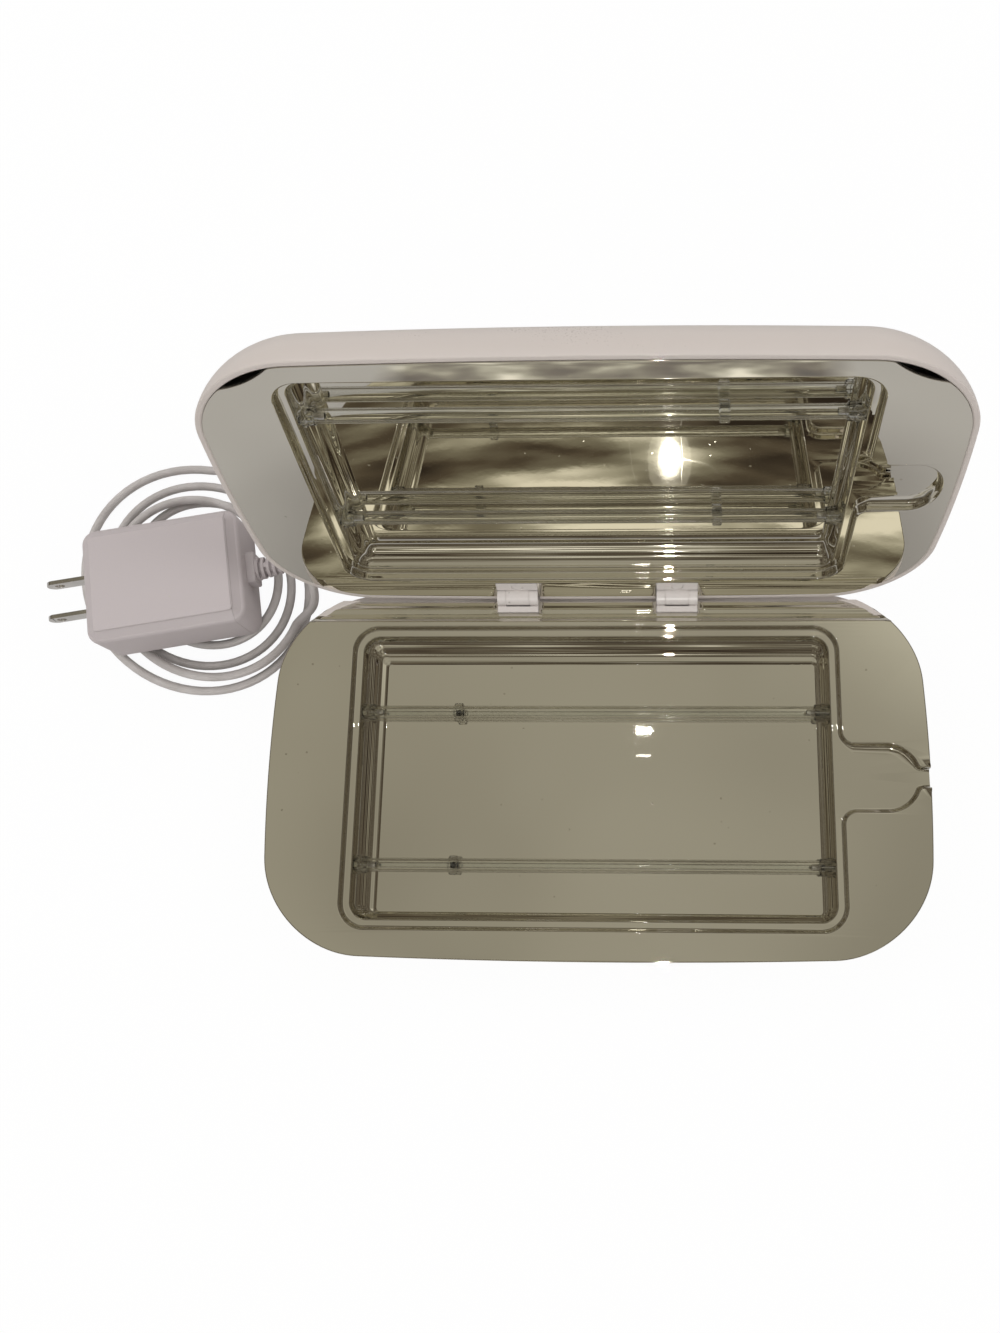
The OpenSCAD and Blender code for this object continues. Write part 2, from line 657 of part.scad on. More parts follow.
// Power plug in the socket, along Y, with its tapered relief
plug_body = panel_y + 0.3;
plug_body_l = 17;
relief_l = 10;
module plug_axis() {
    translate([socket_x, plug_body, port_z]) rotate([-90, 0, 0]) children();
}
module power_plug() color(white) base_place() plug_axis() {
    translate([0, 0, -plug_l]) difference() {
        cylinder(h = plug_l + 1, r = plug_r);
        translate([0, 0, -1]) cylinder(h = plug_l, r = 1.1);
    }
    rotate_extrude() polygon([[0, 0], [3.7, 0], [4, 0.4], [4.2, 4], [4.2, plug_body_l - 2],
        [3.7, plug_body_l], [0, plug_body_l]]);
}
// Ribbed taper: a profile of rings that get smaller towards the cord
function ribbed(r0, r1, l, ribs) = [for (i = [0:ribs - 1]) let (
        r = mix(r0, r1, i / ribs), z = l * i / ribs, p = l / ribs)
    each [[r, z], [r, z + 0.6 * p], [r - 0.7, z + 0.6 * p], [r - 0.7, z + p]]];
module relief(r0, r1, l, ribs, bore) {
    rotate_extrude() polygon(concat([[bore, 0]], ribbed(r0, r1, l, ribs), [[bore, l]]));
}
module plug_relief() color(white) base_place() plug_axis() translate([0, 0, plug_body_l])
    relief(3.5, 2.9, relief_l, 4, cord_d / 2 + fit_gap);

// Adapter lying on the coil: its own X runs along the case, its own Z through it
adapter_at = [-155, 67];
adapter_turn = 10;
adapter_tilt = 2;
adapter_z = 20.2;
blade_l = 17;
blade_sink = 4;
collar = [3, 11.6, 9];
adapter_relief_l = 10;
module adapter_place() {
    translate([adapter_at[0], adapter_at[1] - mid_y, adapter_z])
        rotate([0, 0, adapter_turn]) rotate([0, adapter_tilt, 0]) children();
}
module adapter_solid() {
    intersection() {
        translate([0, 0, -adapter_h / 2]) linear_extrude(adapter_h)
            rounded_rect(-adapter_l / 2, adapter_l / 2, -adapter_w / 2, adapter_w / 2, 5);
        rotate([90, 0, 0]) translate([0, 0, -adapter_w / 2]) linear_extrude(adapter_w)
            rounded_rect(-adapter_l / 2, adapter_l / 2, -adapter_h / 2, adapter_h / 2, 3.5);
        rotate([90, 0, 90]) translate([0, 0, -adapter_l / 2]) linear_extrude(adapter_l)
            rounded_rect(-adapter_w / 2, adapter_w / 2, -adapter_h / 2, adapter_h / 2, 3.5);
    }
}
seam_x = adapter_l / 2 - end_cap;
module adapter_case() color(white) adapter_place() difference() {
    adapter_solid();
    box([seam_x - fit_gap, adapter_l], adapter_w * [-1, 1], adapter_h * [-1, 1]);
    for (s = [-1, 1]) box([-adapter_l / 2 - 1, -adapter_l / 2 + blade_sink],
        around(s * 6.35, 0.8), [-3.225, 3.225]);
}
module adapter_cap() color(white) adapter_place() intersection() {
    adapter_solid();
    box([seam_x, adapter_l], adapter_w * [-1, 1], adapter_h * [-1, 1]);
}
module adapter_blades() color(steel) adapter_place()
    for (s = [-1, 1]) difference() {
        intersection() {
            box([-adapter_l / 2 - blade_l, -adapter_l / 2 + blade_sink], around(s * 6.35, 0.75),
                [-3.175, 3.175]);
            translate([-adapter_l / 2 - blade_l + 3.4, 20, 0]) rotate([90, 0, 0]) linear_extrude(40) {
                circle(3.4);
                translate([0, -4]) square([30, 8]);
            }
        }
        translate([-adapter_l / 2 - blade_l + 4.4, 20, 0]) rotate([90, 0, 0]) cylinder(h = 40, r = 1.6);
    }
module adapter_relief() color(white) adapter_place() {
    translate([adapter_l / 2, 0, 0]) {
        difference() {
            translate([0, -collar[1] / 2, -collar[2] / 2]) cube(collar);
            rotate([0, 90, 0]) translate([0, 0, -1]) cylinder(h = collar[0] + 2, r = cord_d / 2 + fit_gap);
        }
        translate([collar[0] - eps, 0, 0]) rotate([0, 90, 0])
            relief(4.3, 2.9, adapter_relief_l, 5, cord_d / 2 + fit_gap);
    }
}

// Cord. Its upper loop winds inward, then the lower loops wind outward.
// Turns run clockwise seen from above, and each loop is stretched a little along one line.
cord_r = cord_d / 2;
layer_rise = cord_d + 0.6;
start_angle = -20;
loop_steps = 24;
upper_turns = 21 / loop_steps;
climb_turns = 12 / loop_steps;
lower_turns = 56 / loop_steps;
coil_turns = upper_turns + climb_turns + lower_turns;
upper_r = [39.6, 27];
lower_r = [27, 46];
inner_mid = [-149, 74.5];
outer_mid = [-152.5, 71.5];
stretch = [1.1, 0.93];
stretch_angle = 140;
function spun(p, a) = [p[0] * cos(a) - p[1] * sin(a), p[0] * sin(a) + p[1] * cos(a)];
function eased(t) = t * t * (3 - 2 * t);
function coil_share(t) = t < upper_turns ? 1 - t / upper_turns
    : t < upper_turns + climb_turns ? 0 : (t - upper_turns - climb_turns) / lower_turns;
function coil_radius(t) = t < upper_turns + climb_turns ? mix(upper_r[1], upper_r[0], coil_share(t))
    : mix(lower_r[0], lower_r[1], coil_share(t));
function coil_height(t) = cord_r + layer_rise
    * (1 - eased(min(max((t - upper_turns) / climb_turns, 0), 1)));
function coil_point(t) = let (
        turned = spun([cos(start_angle - 360 * t), sin(start_angle - 360 * t)], -stretch_angle),
        flat = spun([turned[0] * stretch[0], turned[1] * stretch[1]], stretch_angle),
        mid = mix(inner_mid, outer_mid, coil_share(t)),
        p = mid + coil_radius(t) * flat
    ) [p[0], p[1], coil_height(t)];
coil_path = [for (i = [0:round(coil_turns * loop_steps)]) coil_point(i / loop_steps)];
coil_ends = [heading(coil_path, 0), heading(coil_path, len(coil_path) - 1)];
// Gap where one length of cord ends and the next begins
joint_gap = 0.05;
coil_in = coil_path[0] - joint_gap * coil_ends[0];
coil_out = coil_path[len(coil_path) - 1] + joint_gap * coil_ends[1];

// Route points that are chosen by hand, in box millimetres on the table
start_route = [[-109.4, 73, 16.6], [-105.6, 68.4, 14.2], [-105.8, 61, 10]];
lead_route = [[-134, 115.2, 1.6], [-114, 113.4, 1.7], [-94, 113.6, 1.7], [-80, 109.6, 2.8], [-71, 101, 6.8], [-68.2, 92, 11.4]];

// Smooth curve through a list of points, with the ends' directions given by the outer points
function spline_at(p, i, t) = let (a = p[i], b = p[i + 1], c = p[i + 2], d = p[i + 3])
    0.5 * (2 * b + (c - a) * t + (2 * a - 5 * b + 4 * c - d) * t * t + (3 * b - a - 3 * c + d) * t * t * t);
function spline(p, n) = concat(
    [for (i = [0:len(p) - 4], k = [0:n - 1]) spline_at(p, i, k / n)], [p[len(p) - 2]]);
function unit(v) = v / norm(v);
function heading(p, i) = unit(p[min(i + 1, len(p) - 1)] - p[max(i - 1, 0)]);
// Ring of n points square to the path, or to the given end direction
function cord_ring(p, i, r, n, ends) = let (
        m = len(p) - 1,
        t = i == 0 ? ends[0] : i == m ? ends[1] : heading(p, i),
        side = unit(cross([0, 0, 1], t)), rise = cross(t, side)
    ) [for (k = [0:n - 1]) p[i] + r * (cos(360 * k / n) * side + sin(360 * k / n) * rise)];
module tube(path, r, n, ends) {
    m = len(path);
    polyhedron(
        points = [for (i = [0:m - 1]) each cord_ring(path, i, r, n, ends)],
        faces = concat(
            [[for (k = [n - 1:-1:0]) k]],
            [[for (k = [0:n - 1]) (m - 1) * n + k]],
            [for (i = [0:m - 2], k = [0:n - 1]) let (j = (k + 1) % n) each [
                [i * n + k, i * n + j, (i + 1) * n + j],
                [i * n + k, (i + 1) * n + j, (i + 1) * n + k]
            ]]
        )
    );
}
module on_table() {
    translate([0, -mid_y, 0]) children();
}
module cord_coil() color(cord_grey) on_table() tube(coil_path, cord_r, 6, coil_ends);
module cord_start() color(cord_grey) on_table() tube(start_path, cord_r, 8, [relief_way, coil_ends[0]]);
module cord_lead() color(cord_grey) on_table() tube(lead_path, cord_r, 8, [coil_ends[1], [0, -1, 0]]);
relief_tip = adapter_point([adapter_l / 2 + collar[0] + adapter_relief_l + fit_gap, 0, 0]);
relief_back = adapter_point([adapter_l / 2 + collar[0], 0, 0]);
function adapter_point(p) = let (
        x = p[0] * cos(adapter_tilt) + p[2] * sin(adapter_tilt),
        z = p[2] * cos(adapter_tilt) - p[0] * sin(adapter_tilt),
        q = spun([x, p[1]], adapter_turn)
    ) [adapter_at[0] + q[0], adapter_at[1] + q[1], adapter_z + z];
relief_way = unit(relief_tip - relief_back);
start_path = spline(concat([relief_back, relief_tip], start_route, [coil_in, coil_point(0.06)]), 3);
plug_end = [socket_x, plug_body + plug_body_l + relief_l + fit_gap, seam_z + port_z];
lead_path = spline(concat([coil_point(coil_turns - 0.06), coil_out], lead_route,
    [plug_end, plug_end - [0, 12, 0]]), 4);

// Least gap between loops, measured between points at least a third of a turn apart
coil_gap = min([for (i = [0:len(coil_path) - 1], j = [0:len(coil_path) - 1])
    if (j - i > loop_steps / 3) norm(coil_path[i] - coil_path[j])]) - cord_d;
function length_of(p) = ladd([for (i = [1:len(p) - 1]) norm(p[i] - p[i - 1])]);
function ladd(v, i = 0) = i == len(v) ? 0 : v[i] + ladd(v, i + 1);
echo(coil_gap = coil_gap, cord_length = length_of(start_path) + length_of(coil_path) + length_of(lead_path));

base_shell();
base_liner();
base_knuckles();
hinge_pins();
rubber_feet();
base_screws();
base_lamp_front();
base_lamp_rear();
base_lamp_caps();
base_grommets();
base_saddles();
circuit_board();
transformer();
capacitors();
port_panel();
power_socket();
usb_port();
lid_sensor();
lid_shell();
lid_liner();
lid_knuckles();
knuckle_screws();
lid_lamp_front();
lid_lamp_rear();
lid_lamp_caps();
lid_grommets();
lid_saddles();
lid_board();
lid_transformer();
indicator_lens();
lid_magnet();
power_plug();
plug_relief();
cord_lead();
cord_coil();
cord_start();
adapter_relief();
adapter_cap();
adapter_case();
adapter_blades();
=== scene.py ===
import math

import bmesh
import bpy
import numpy as np
from mathutils import Matrix, Vector, geometry


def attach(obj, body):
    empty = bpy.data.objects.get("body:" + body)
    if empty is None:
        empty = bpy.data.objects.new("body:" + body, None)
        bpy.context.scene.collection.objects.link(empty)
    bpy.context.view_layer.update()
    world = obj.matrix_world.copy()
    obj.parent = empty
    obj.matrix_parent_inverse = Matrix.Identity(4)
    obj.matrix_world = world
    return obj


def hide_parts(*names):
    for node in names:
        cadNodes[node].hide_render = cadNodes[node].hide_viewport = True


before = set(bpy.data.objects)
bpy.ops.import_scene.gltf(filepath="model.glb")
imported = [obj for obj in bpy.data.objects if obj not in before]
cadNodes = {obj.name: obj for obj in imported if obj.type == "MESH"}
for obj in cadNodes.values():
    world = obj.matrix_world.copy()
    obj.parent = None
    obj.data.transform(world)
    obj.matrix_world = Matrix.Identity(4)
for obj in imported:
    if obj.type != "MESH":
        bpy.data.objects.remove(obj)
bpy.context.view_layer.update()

mm = 0.001
scene = bpy.context.scene
scene.view_settings.view_transform = "Standard"

# Sizes shared by several pieces, in millimetres and degrees. Each half has its seam at z 0 and its depth
# below it.
body = {
    "width": 226.0, "depth": 126.5, "cornerRadius": 32.0, "bowX": 3.4, "bowY": 2.3, "halfHeight": 23.8,
    "sideRun": 23.0, "wall": 2.0, "seamHeight": 25.0, "shiftY": 24.89891, "axisY": 60.4,
    "axisAboveSeam": 0.2, "openAngle": 106.6, "knuckleXs": (-28.0, 28.0), "cornerSteps": 24,
    "edgeSteps": 12,
}
tray = {
    "left": -85.6, "right": 83.4, "front": -53.05, "back": 49.25, "radius": 8.5, "step": 3.0, "ledge": 3.0,
    "depth": 10.0, "floorLeft": -75.0, "floorRight": 76.5, "floorFront": -47.85, "floorBack": 37.65,
    "floorRadius": 1.2, "cornerEase": 0.8, "wallShares": (0.3, 0.4, 0.3), "wallRipple": 0.024,
    "pocketX": 98.3, "pocketY": -2.7, "pocketRadius": 11.2, "flare": 4.5, "slotHalf": 3.2, "mouthSoft": 1.3,
    "closedReach": 8.6,
}
camera = {
    "place": (0.02082, -0.06473, 0.42738), "pitch": 75.71, "yaw": -9.8, "roll": -9.67,
    "focalPixels": 1176.04, "centreX": 607.0, "centreY": 594.0, "pixelsWide": 1000, "pixelsHigh": 1333,
    "sensor": 36,
}


def makeCamera(v):
    # The view direction from pitch and yaw, then the frame turned about it by the roll
    pitch, yaw, roll = (math.radians(v[k]) for k in ("pitch", "yaw", "roll"))
    ahead = np.array([math.sin(yaw) * math.cos(pitch), math.cos(yaw) * math.cos(pitch), -math.sin(pitch)])
    level = np.array([math.cos(yaw), -math.sin(yaw), 0.0])
    rise = np.cross(level, ahead)
    right = level * math.cos(roll) + rise * math.sin(roll)
    up = -level * math.sin(roll) + rise * math.cos(roll)
    data = bpy.data.cameras.new("photoCamera")
    data.lens = v["focalPixels"] / v["pixelsHigh"] * v["sensor"]
    data.sensor_width = v["sensor"]
    data.shift_x = -(v["centreX"] - v["pixelsWide"] / 2) / v["pixelsHigh"]
    data.shift_y = -(v["pixelsHigh"] / 2 - v["centreY"]) / v["pixelsHigh"]
    data.clip_start, data.clip_end = 0.01, 30
    obj = bpy.data.objects.new("photoCamera", data)
    turn = Matrix([[right[i], up[i], -ahead[i]] for i in range(3)]).to_4x4()
    obj.matrix_world = Matrix.Translation(v["place"]) @ turn
    scene.collection.objects.link(obj)
    scene.camera = obj


makeCamera(camera)
print("camera ready")


def asMade(points):
    return np.asarray(points, float)


def toBase(points):
    # Base frame to row frame: y moves by the shift, z counts from the seam, millimetres become metres
    p = asMade(points)
    return np.stack([p[:, 0], p[:, 1] - body["shiftY"], p[:, 2] + body["seamHeight"]], 1) * mm


def toLid(points):
    # Lid frame to row frame: depth turned upwards, then swung back about the hinge axis by the open angle
    p = asMade(points)
    turn = math.radians(body["openAngle"])
    y, z = p[:, 1] - body["axisY"], body["axisAboveSeam"] - p[:, 2]
    swungY = y * math.cos(turn) + z * math.sin(turn) + body["axisY"] - body["shiftY"]
    swungZ = -y * math.sin(turn) + z * math.cos(turn) + body["seamHeight"] + body["axisAboveSeam"]
    return np.stack([p[:, 0], swungY, swungZ], 1) * mm


def toTable(points):
    # Box millimetres on the table to row metres
    return (asMade(points) - [0, body["shiftY"], 0]) * mm


def around(middle, half):
    return middle - half, middle + half


def lifted(outline, z):
    return np.column_stack([outline, np.full(len(outline), z)])


def gridFaces(rows, columns, closeRows=False, closeColumns=False):
    # Quads between neighbouring points of a rows by columns grid, with either direction closed on itself
    i = np.arange(rows if closeRows else rows - 1)
    j = np.arange(columns if closeColumns else columns - 1)
    a, b = (index.ravel() for index in np.meshgrid(i, j, indexing="ij"))
    c, d = (a + 1) % rows, (b + 1) % columns
    return np.stack([a * columns + b, a * columns + d, c * columns + d, c * columns + b], 1).tolist()


def tubeFaces(rows, columns):
    # A grid closed round its columns, with a face over each end
    last = columns * (rows - 1)
    ends = [list(range(columns)), list(range(last, last + columns))]
    return gridFaces(rows, columns, closeColumns=True) + ends


def boxPart(xs, ys, zs):
    # The eight corners and six faces of a box
    corners = np.stack([level.ravel() for level in np.meshgrid(xs, ys, zs, indexing="ij")], 1)
    return corners, [[0, 1, 3, 2], [4, 6, 7, 5], [0, 4, 5, 1], [2, 3, 7, 6], [0, 2, 6, 4], [1, 5, 7, 3]]


def editMesh(data, *edits, into=None):
    # Opens a mesh, applies the edits in turn and writes it back, or into another mesh
    work = bmesh.new()
    work.from_mesh(data)
    for edit in edits:
        edit(work)
    result = data if into is None else into
    work.to_mesh(result)
    work.free()
    return result


def weldBy(distance):
    return lambda work: bmesh.ops.remove_doubles(work, verts=work.verts, dist=distance)


def turnOut(work):
    bmesh.ops.recalc_face_normals(work, faces=work.faces)


def rawMesh(name, points, faces):
    data = bpy.data.meshes.new(name)
    data.from_pydata(np.asarray(points).tolist(), [], faces)
    return data


def placed(data, place):
    # Moves a mesh's points to the row frame. A place that mirrors turns the faces too.
    spots = np.zeros(len(data.vertices) * 3)
    data.vertices.foreach_get("co", spots)
    data.vertices.foreach_set("co", place(spots.reshape(-1, 3)).ravel())
    corners = place(np.vstack([np.zeros(3), np.eye(3)]))
    if np.linalg.det(corners[1:] - corners[0]) < 0:
        data.flip_normals()
    data.update()
    return data


class Sheet:
    # Collects grids, flat regions and parts of points with faces into one mesh with its equal points welded
    def __init__(self, parts=()):
        self.points, self.faces, self.count = [], [], 0
        for points, faces in parts:
            self.add(points, faces)

    def add(self, points, faces):
        self.faces += [[self.count + k for k in face] for face in faces]
        self.points.append(asMade(points))
        self.count += len(points)

    def addGrid(self, grid, closeRows=False, closeColumns=False):
        self.add(grid.reshape(-1, 3), gridFaces(*grid.shape[:2], closeRows, closeColumns))

    def addFlat(self, loops, z):
        # A flat region inside the first loop and outside the others, as triangles
        corners = [[Vector((p[0], p[1], 0)) for p in loop] for loop in loops]
        self.add(lifted(np.concatenate([asMade(loop)[:, :2] for loop in loops]), z),
                 geometry.tessellate_polygon(corners))

    def mesh(self, name, place=asMade, *edits, weld=0.002):
        data = rawMesh(name, np.concatenate(self.points), self.faces)
        return placed(editMesh(data, weldBy(weld), *edits), place)


def stackMesh(name, rings):
    # Rings of equal count, one after the other, as one closed solid
    rings = np.asarray(rings, float)
    sheet = Sheet([(rings.reshape(-1, 3), tubeFaces(*rings.shape[:2]))])
    return sheet.mesh(name, asMade, turnOut)


def partsMesh(name, parts, place, outward=True, weld=0.0005):
    # Several closed parts as one mesh, whose faces are turned outwards unless they look right already
    def dissolve(work):
        bmesh.ops.dissolve_degenerate(work, edges=work.edges, dist=weld)
    edits = [dissolve, turnOut] if outward else [dissolve]
    return Sheet(parts).mesh(name, place, *edits, weld=weld)


def addEvenNormals(obj):
    even = obj.modifiers.new("evenNormals", "WEIGHTED_NORMAL")
    even.mode = "FACE_AREA"
    even.weight = 50
    even.keep_sharp = True


def addBevel(obj, width, segments, angle):
    bevel = obj.modifiers.new("softEdge", "BEVEL")
    bevel.width = width * mm
    bevel.segments = segments
    bevel.limit_method = "ANGLE"
    bevel.angle_limit = math.radians(angle)
    bevel.use_clamp_overlap = True


def makePiece(name, data, bodyName, finish, replaced=(), sharpAngle=None, evenNormals=False):
    # Smooth faces, with edges sharper than the given angle kept crisp
    def keepCrisp(work):
        limit = math.radians(sharpAngle)
        for edge in work.edges:
            edge.smooth = not (len(edge.link_faces) == 2 and edge.calc_face_angle(0) > limit)
    data.shade_smooth()
    if sharpAngle is not None:
        editMesh(data, keepCrisp)
    obj = bpy.data.objects.new(name, data)
    scene.collection.objects.link(obj)
    data.materials.clear()
    data.materials.append(materials[finish])
    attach(obj, bodyName)
    if replaced:
        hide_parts(*replaced)
    if evenNormals:
        addEvenNormals(obj)
    return obj


def newGroup(name, inputs, outputs):
    # A node group with a vector and named numbers going in, and named numbers coming out
    group = bpy.data.node_groups.new(name, "ShaderNodeTree")
    for label, value in inputs.items():
        kind = "NodeSocketVector" if label == "Vector" else "NodeSocketFloat"
        group.interface.new_socket(label, in_out="INPUT", socket_type=kind).default_value = value
    for label in outputs:
        group.interface.new_socket(label, in_out="OUTPUT", socket_type="NodeSocketFloat")
    return group, group.nodes.new("NodeGroupInput").outputs, group.nodes.new("NodeGroupOutput")


def fill(tree, node, values):
    # Sockets are linked and plain values are set
    for key, value in values.items():
        if hasattr(value, "links"):
            tree.links.new(value, node.inputs[key])
        else:
            node.inputs[key].default_value = value
    return node


def addNode(tree, kind, values, **settings):
    node = tree.nodes.new(kind)
    for key, value in settings.items():
        setattr(node, key, value)
    return fill(tree, node, values)


def mathOf(tree, operation, *values, clamped=False):
    return addNode(tree, "ShaderNodeMath", dict(enumerate(values)), operation=operation,
                   use_clamp=clamped).outputs["Value"]


def vectorOf(tree, operation, *values, output="Vector"):
    return addNode(tree, "ShaderNodeVectorMath", dict(enumerate(values)), operation=operation).outputs[output]


def rangeOf(tree, value, low, high, start=0.0, end=1.0, kind="LINEAR"):
    values = {"Value": value, "From Min": low, "From Max": high, "To Min": start, "To Max": end}
    return addNode(tree, "ShaderNodeMapRange", values, interpolation_type=kind).outputs["Result"]


def noiseOf(tree, where, scale, detail, roughness=0.5):
    values = {"Vector": where, "Scale": scale, "Detail": detail, "Roughness": roughness}
    return addNode(tree, "ShaderNodeTexNoise", values).outputs


def mixColours(tree, factor, first, second):
    first, second = (c if hasattr(c, "links") else (*c[:3], 1) for c in (first, second))
    return addNode(tree, "ShaderNodeMix", {0: factor, 6: first, 7: second}, data_type="RGBA").outputs[2]


def rampOf(tree, factor, stops):
    ramp = addNode(tree, "ShaderNodeValToRGB", {"Fac": factor})
    ends = ramp.color_ramp.elements
    for end, (position, colour) in ((ends[0], stops[0]), (ends[1], stops[-1])):
        end.position, end.color = position, (*colour, 1)
    for position, colour in stops[1:-1]:
        ends.new(position).color = (*colour, 1)
    return ramp.outputs["Color"]


def makeGrainGroup():
    # Moulded grain: fine noise gives the height and most of the roughness, broad patches the rest of that
    group, start, end = newGroup("mouldedGrain", {
        "Vector": (0, 0, 0), "Grain Scale": 900.0, "Broad Scale": 40.0, "Roughness Low": 0.3,
        "Roughness High": 0.4}, ("Height", "Roughness", "Patches"))
    fine = noiseOf(group, start["Vector"], start["Grain Scale"], 3.0, 0.55)["Fac"]
    broad = noiseOf(group, start["Vector"], start["Broad Scale"], 2.0)["Fac"]
    patches = rangeOf(group, broad, 0.3, 0.7, kind="SMOOTHSTEP")
    uneven = mathOf(group, "MULTIPLY_ADD", fine, 0.7, mathOf(group, "MULTIPLY", patches, 0.3))
    rough = rangeOf(group, uneven, 0.0, 1.0, start["Roughness Low"], start["Roughness High"])
    fill(group, end, {"Height": fine, "Roughness": rough, "Patches": patches})
    return group


def makeHandlingGroup():
    # Handling marks: sparse fine scratches from stretched cells, and specks of dust from small cells
    group, start, end = newGroup("handlingMarks", {
        "Vector": (0, 0, 0), "Scratch Scale": 60.0, "Dust Scale": 420.0, "Dust Amount": 0.04},
        ("Scratches", "Dust"))
    bent = noiseOf(group, start["Vector"], 12.0, 2.0)
    slight = vectorOf(group, "MULTIPLY", bent["Color"], (0.01, 0.01, 0.01))
    shifted = vectorOf(group, "MULTIPLY_ADD", start["Vector"], (1.0, 0.09, 0.4), slight)
    lines = addNode(group, "ShaderNodeTexVoronoi", {"Vector": shifted, "Scale": start["Scratch Scale"]},
                    feature="DISTANCE_TO_EDGE").outputs["Distance"]
    thin = rangeOf(group, lines, 0.0, 0.008, 1.0, 0.0)
    sparse = rangeOf(group, bent["Fac"], 0.52, 0.6)
    specks = addNode(group, "ShaderNodeTexVoronoi", {"Vector": start["Vector"],
                                                     "Scale": start["Dust Scale"]}).outputs
    chosen = addNode(group, "ShaderNodeSeparateColor", {"Color": specks["Color"]}).outputs["Red"]
    few = mathOf(group, "LESS_THAN", chosen, start["Dust Amount"])
    dots = rangeOf(group, specks["Distance"], 0.1, 0.22, 1.0, 0.0)
    fill(group, end, {"Scratches": mathOf(group, "MULTIPLY", thin, sparse),
                      "Dust": mathOf(group, "MULTIPLY", few, dots)})
    return group


mouldedGrain = makeGrainGroup()
handlingMarks = makeHandlingGroup()


def grainOf(tree, where, fine, broad, low, high):
    values = {"Vector": where, "Grain Scale": fine, "Broad Scale": broad, "Roughness Low": low,
              "Roughness High": high}
    return addNode(tree, "ShaderNodeGroup", values, node_tree=mouldedGrain).outputs


def marksOf(tree, where, dust, scratchScale=60.0, dustScale=420.0):
    values = {"Vector": where, "Scratch Scale": scratchScale, "Dust Scale": dustScale, "Dust Amount": dust}
    return addNode(tree, "ShaderNodeGroup", values, node_tree=handlingMarks).outputs


def startMaterial(name, coordinates="Object"):
    made = bpy.data.materials.new(name)
    made.use_nodes = True
    tree = made.node_tree
    where = tree.nodes.new("ShaderNodeTexCoord").outputs[coordinates]
    return made, tree, tree.nodes["Principled BSDF"], where


def addBump(tree, shader, height, strength, distance):
    values = {"Strength": strength, "Distance": distance * mm, "Height": height}
    fill(tree, shader, {"Normal": addNode(tree, "ShaderNodeBump", values).outputs["Normal"]})


plastics = {
    "whiteShell": {"colour": (0.562, 0.514, 0.480), "shade": (0.552, 0.504, 0.470), "low": 0.26, "high": 0.31,
                   "grain": 1400.0, "broad": 30.0, "strength": 0.10, "dust": 0.02},
    "whiteTrim": {"colour": (0.680, 0.640, 0.610), "shade": (0.630, 0.590, 0.560), "low": 0.24, "high": 0.36,
                  "grain": 1800.0, "broad": 60.0, "strength": 0.08, "dust": 0.02},
    "adapterPlastic": {"colour": (0.462, 0.420, 0.423), "shade": (0.446, 0.405, 0.406), "low": 0.42,
                       "high": 0.54, "grain": 1500.0, "broad": 50.0, "strength": 0.22, "dust": 0.03},
    "darkPlastic": {"colour": (0.030, 0.030, 0.032), "shade": (0.020, 0.020, 0.022), "low": 0.40,
                    "high": 0.55,
                    "grain": 1500.0, "broad": 90.0, "strength": 0.15, "dust": 0.03},
    "milkyPlastic": {"colour": (0.780, 0.790, 0.800), "shade": (0.720, 0.735, 0.750), "low": 0.18,
                     "high": 0.28, "grain": 1500.0, "broad": 120.0, "strength": 0.06, "dust": 0.02},
    "blackRubber": {"colour": (0.022, 0.022, 0.022), "shade": (0.034, 0.033, 0.032), "low": 0.55,
                    "high": 0.75,
                    "grain": 1300.0, "broad": 80.0, "strength": 0.25, "dust": 0.05},
}
dustColour = (0.45, 0.42, 0.39)


def makePlastic(name, v):
    made, tree, shader, where = startMaterial(name)
    grain = grainOf(tree, where, v["grain"], v["broad"], v["low"], v["high"])
    marks = marksOf(tree, where, v["dust"])
    tint = mixColours(tree, grain["Height"], v["shade"], v["colour"])
    fill(tree, shader, {
        "Base Color": mixColours(tree, marks["Dust"], tint, dustColour),
        "Roughness": mathOf(tree, "MULTIPLY_ADD", marks["Scratches"], 0.02, grain["Roughness"])})
    addBump(tree, shader, grain["Height"], v["strength"], 0.03)
    return made


def makeMirror():
    # Metallised plastic: a warm silver with faint orange peel, wiping marks and specks
    made, tree, shader, where = startMaterial("mirrorPlastic")
    grain = grainOf(tree, where, 260.0, 14.0, 0.006, 0.022)
    marks = marksOf(tree, where, 0.02, scratchScale=46.0)
    silver = mixColours(tree, grain["Patches"], (0.850, 0.825, 0.745), (0.885, 0.865, 0.790))
    hazy = mathOf(tree, "MULTIPLY_ADD", marks["Scratches"], 0.02, grain["Roughness"])
    fill(tree, shader, {
        "Metallic": 1.0, "Base Color": mixColours(tree, marks["Dust"], silver, (0.70, 0.67, 0.59)),
        "Roughness": mathOf(tree, "MULTIPLY_ADD", marks["Dust"], 0.25, hazy)})
    ripple = noiseOf(tree, where, 38.0, 1.0)["Fac"]
    addBump(tree, shader, mathOf(tree, "MULTIPLY_ADD", grain["Height"], 0.10, ripple), 0.35, 0.05)
    return made


def makeGlass(name, colour, roughness, index, broad, ripple):
    made, tree, shader, where = startMaterial(name)
    grain = grainOf(tree, where, 220.0, broad, roughness, roughness * 2.5)
    paler = tuple(0.5 + 0.5 * c for c in colour)
    fill(tree, shader, {
        "Transmission Weight": 1.0, "IOR": index, "Roughness": grain["Roughness"],
        "Base Color": mixColours(tree, grain["Patches"], colour, paler)})
    addBump(tree, shader, grain["Height"], ripple, 0.03)
    return made


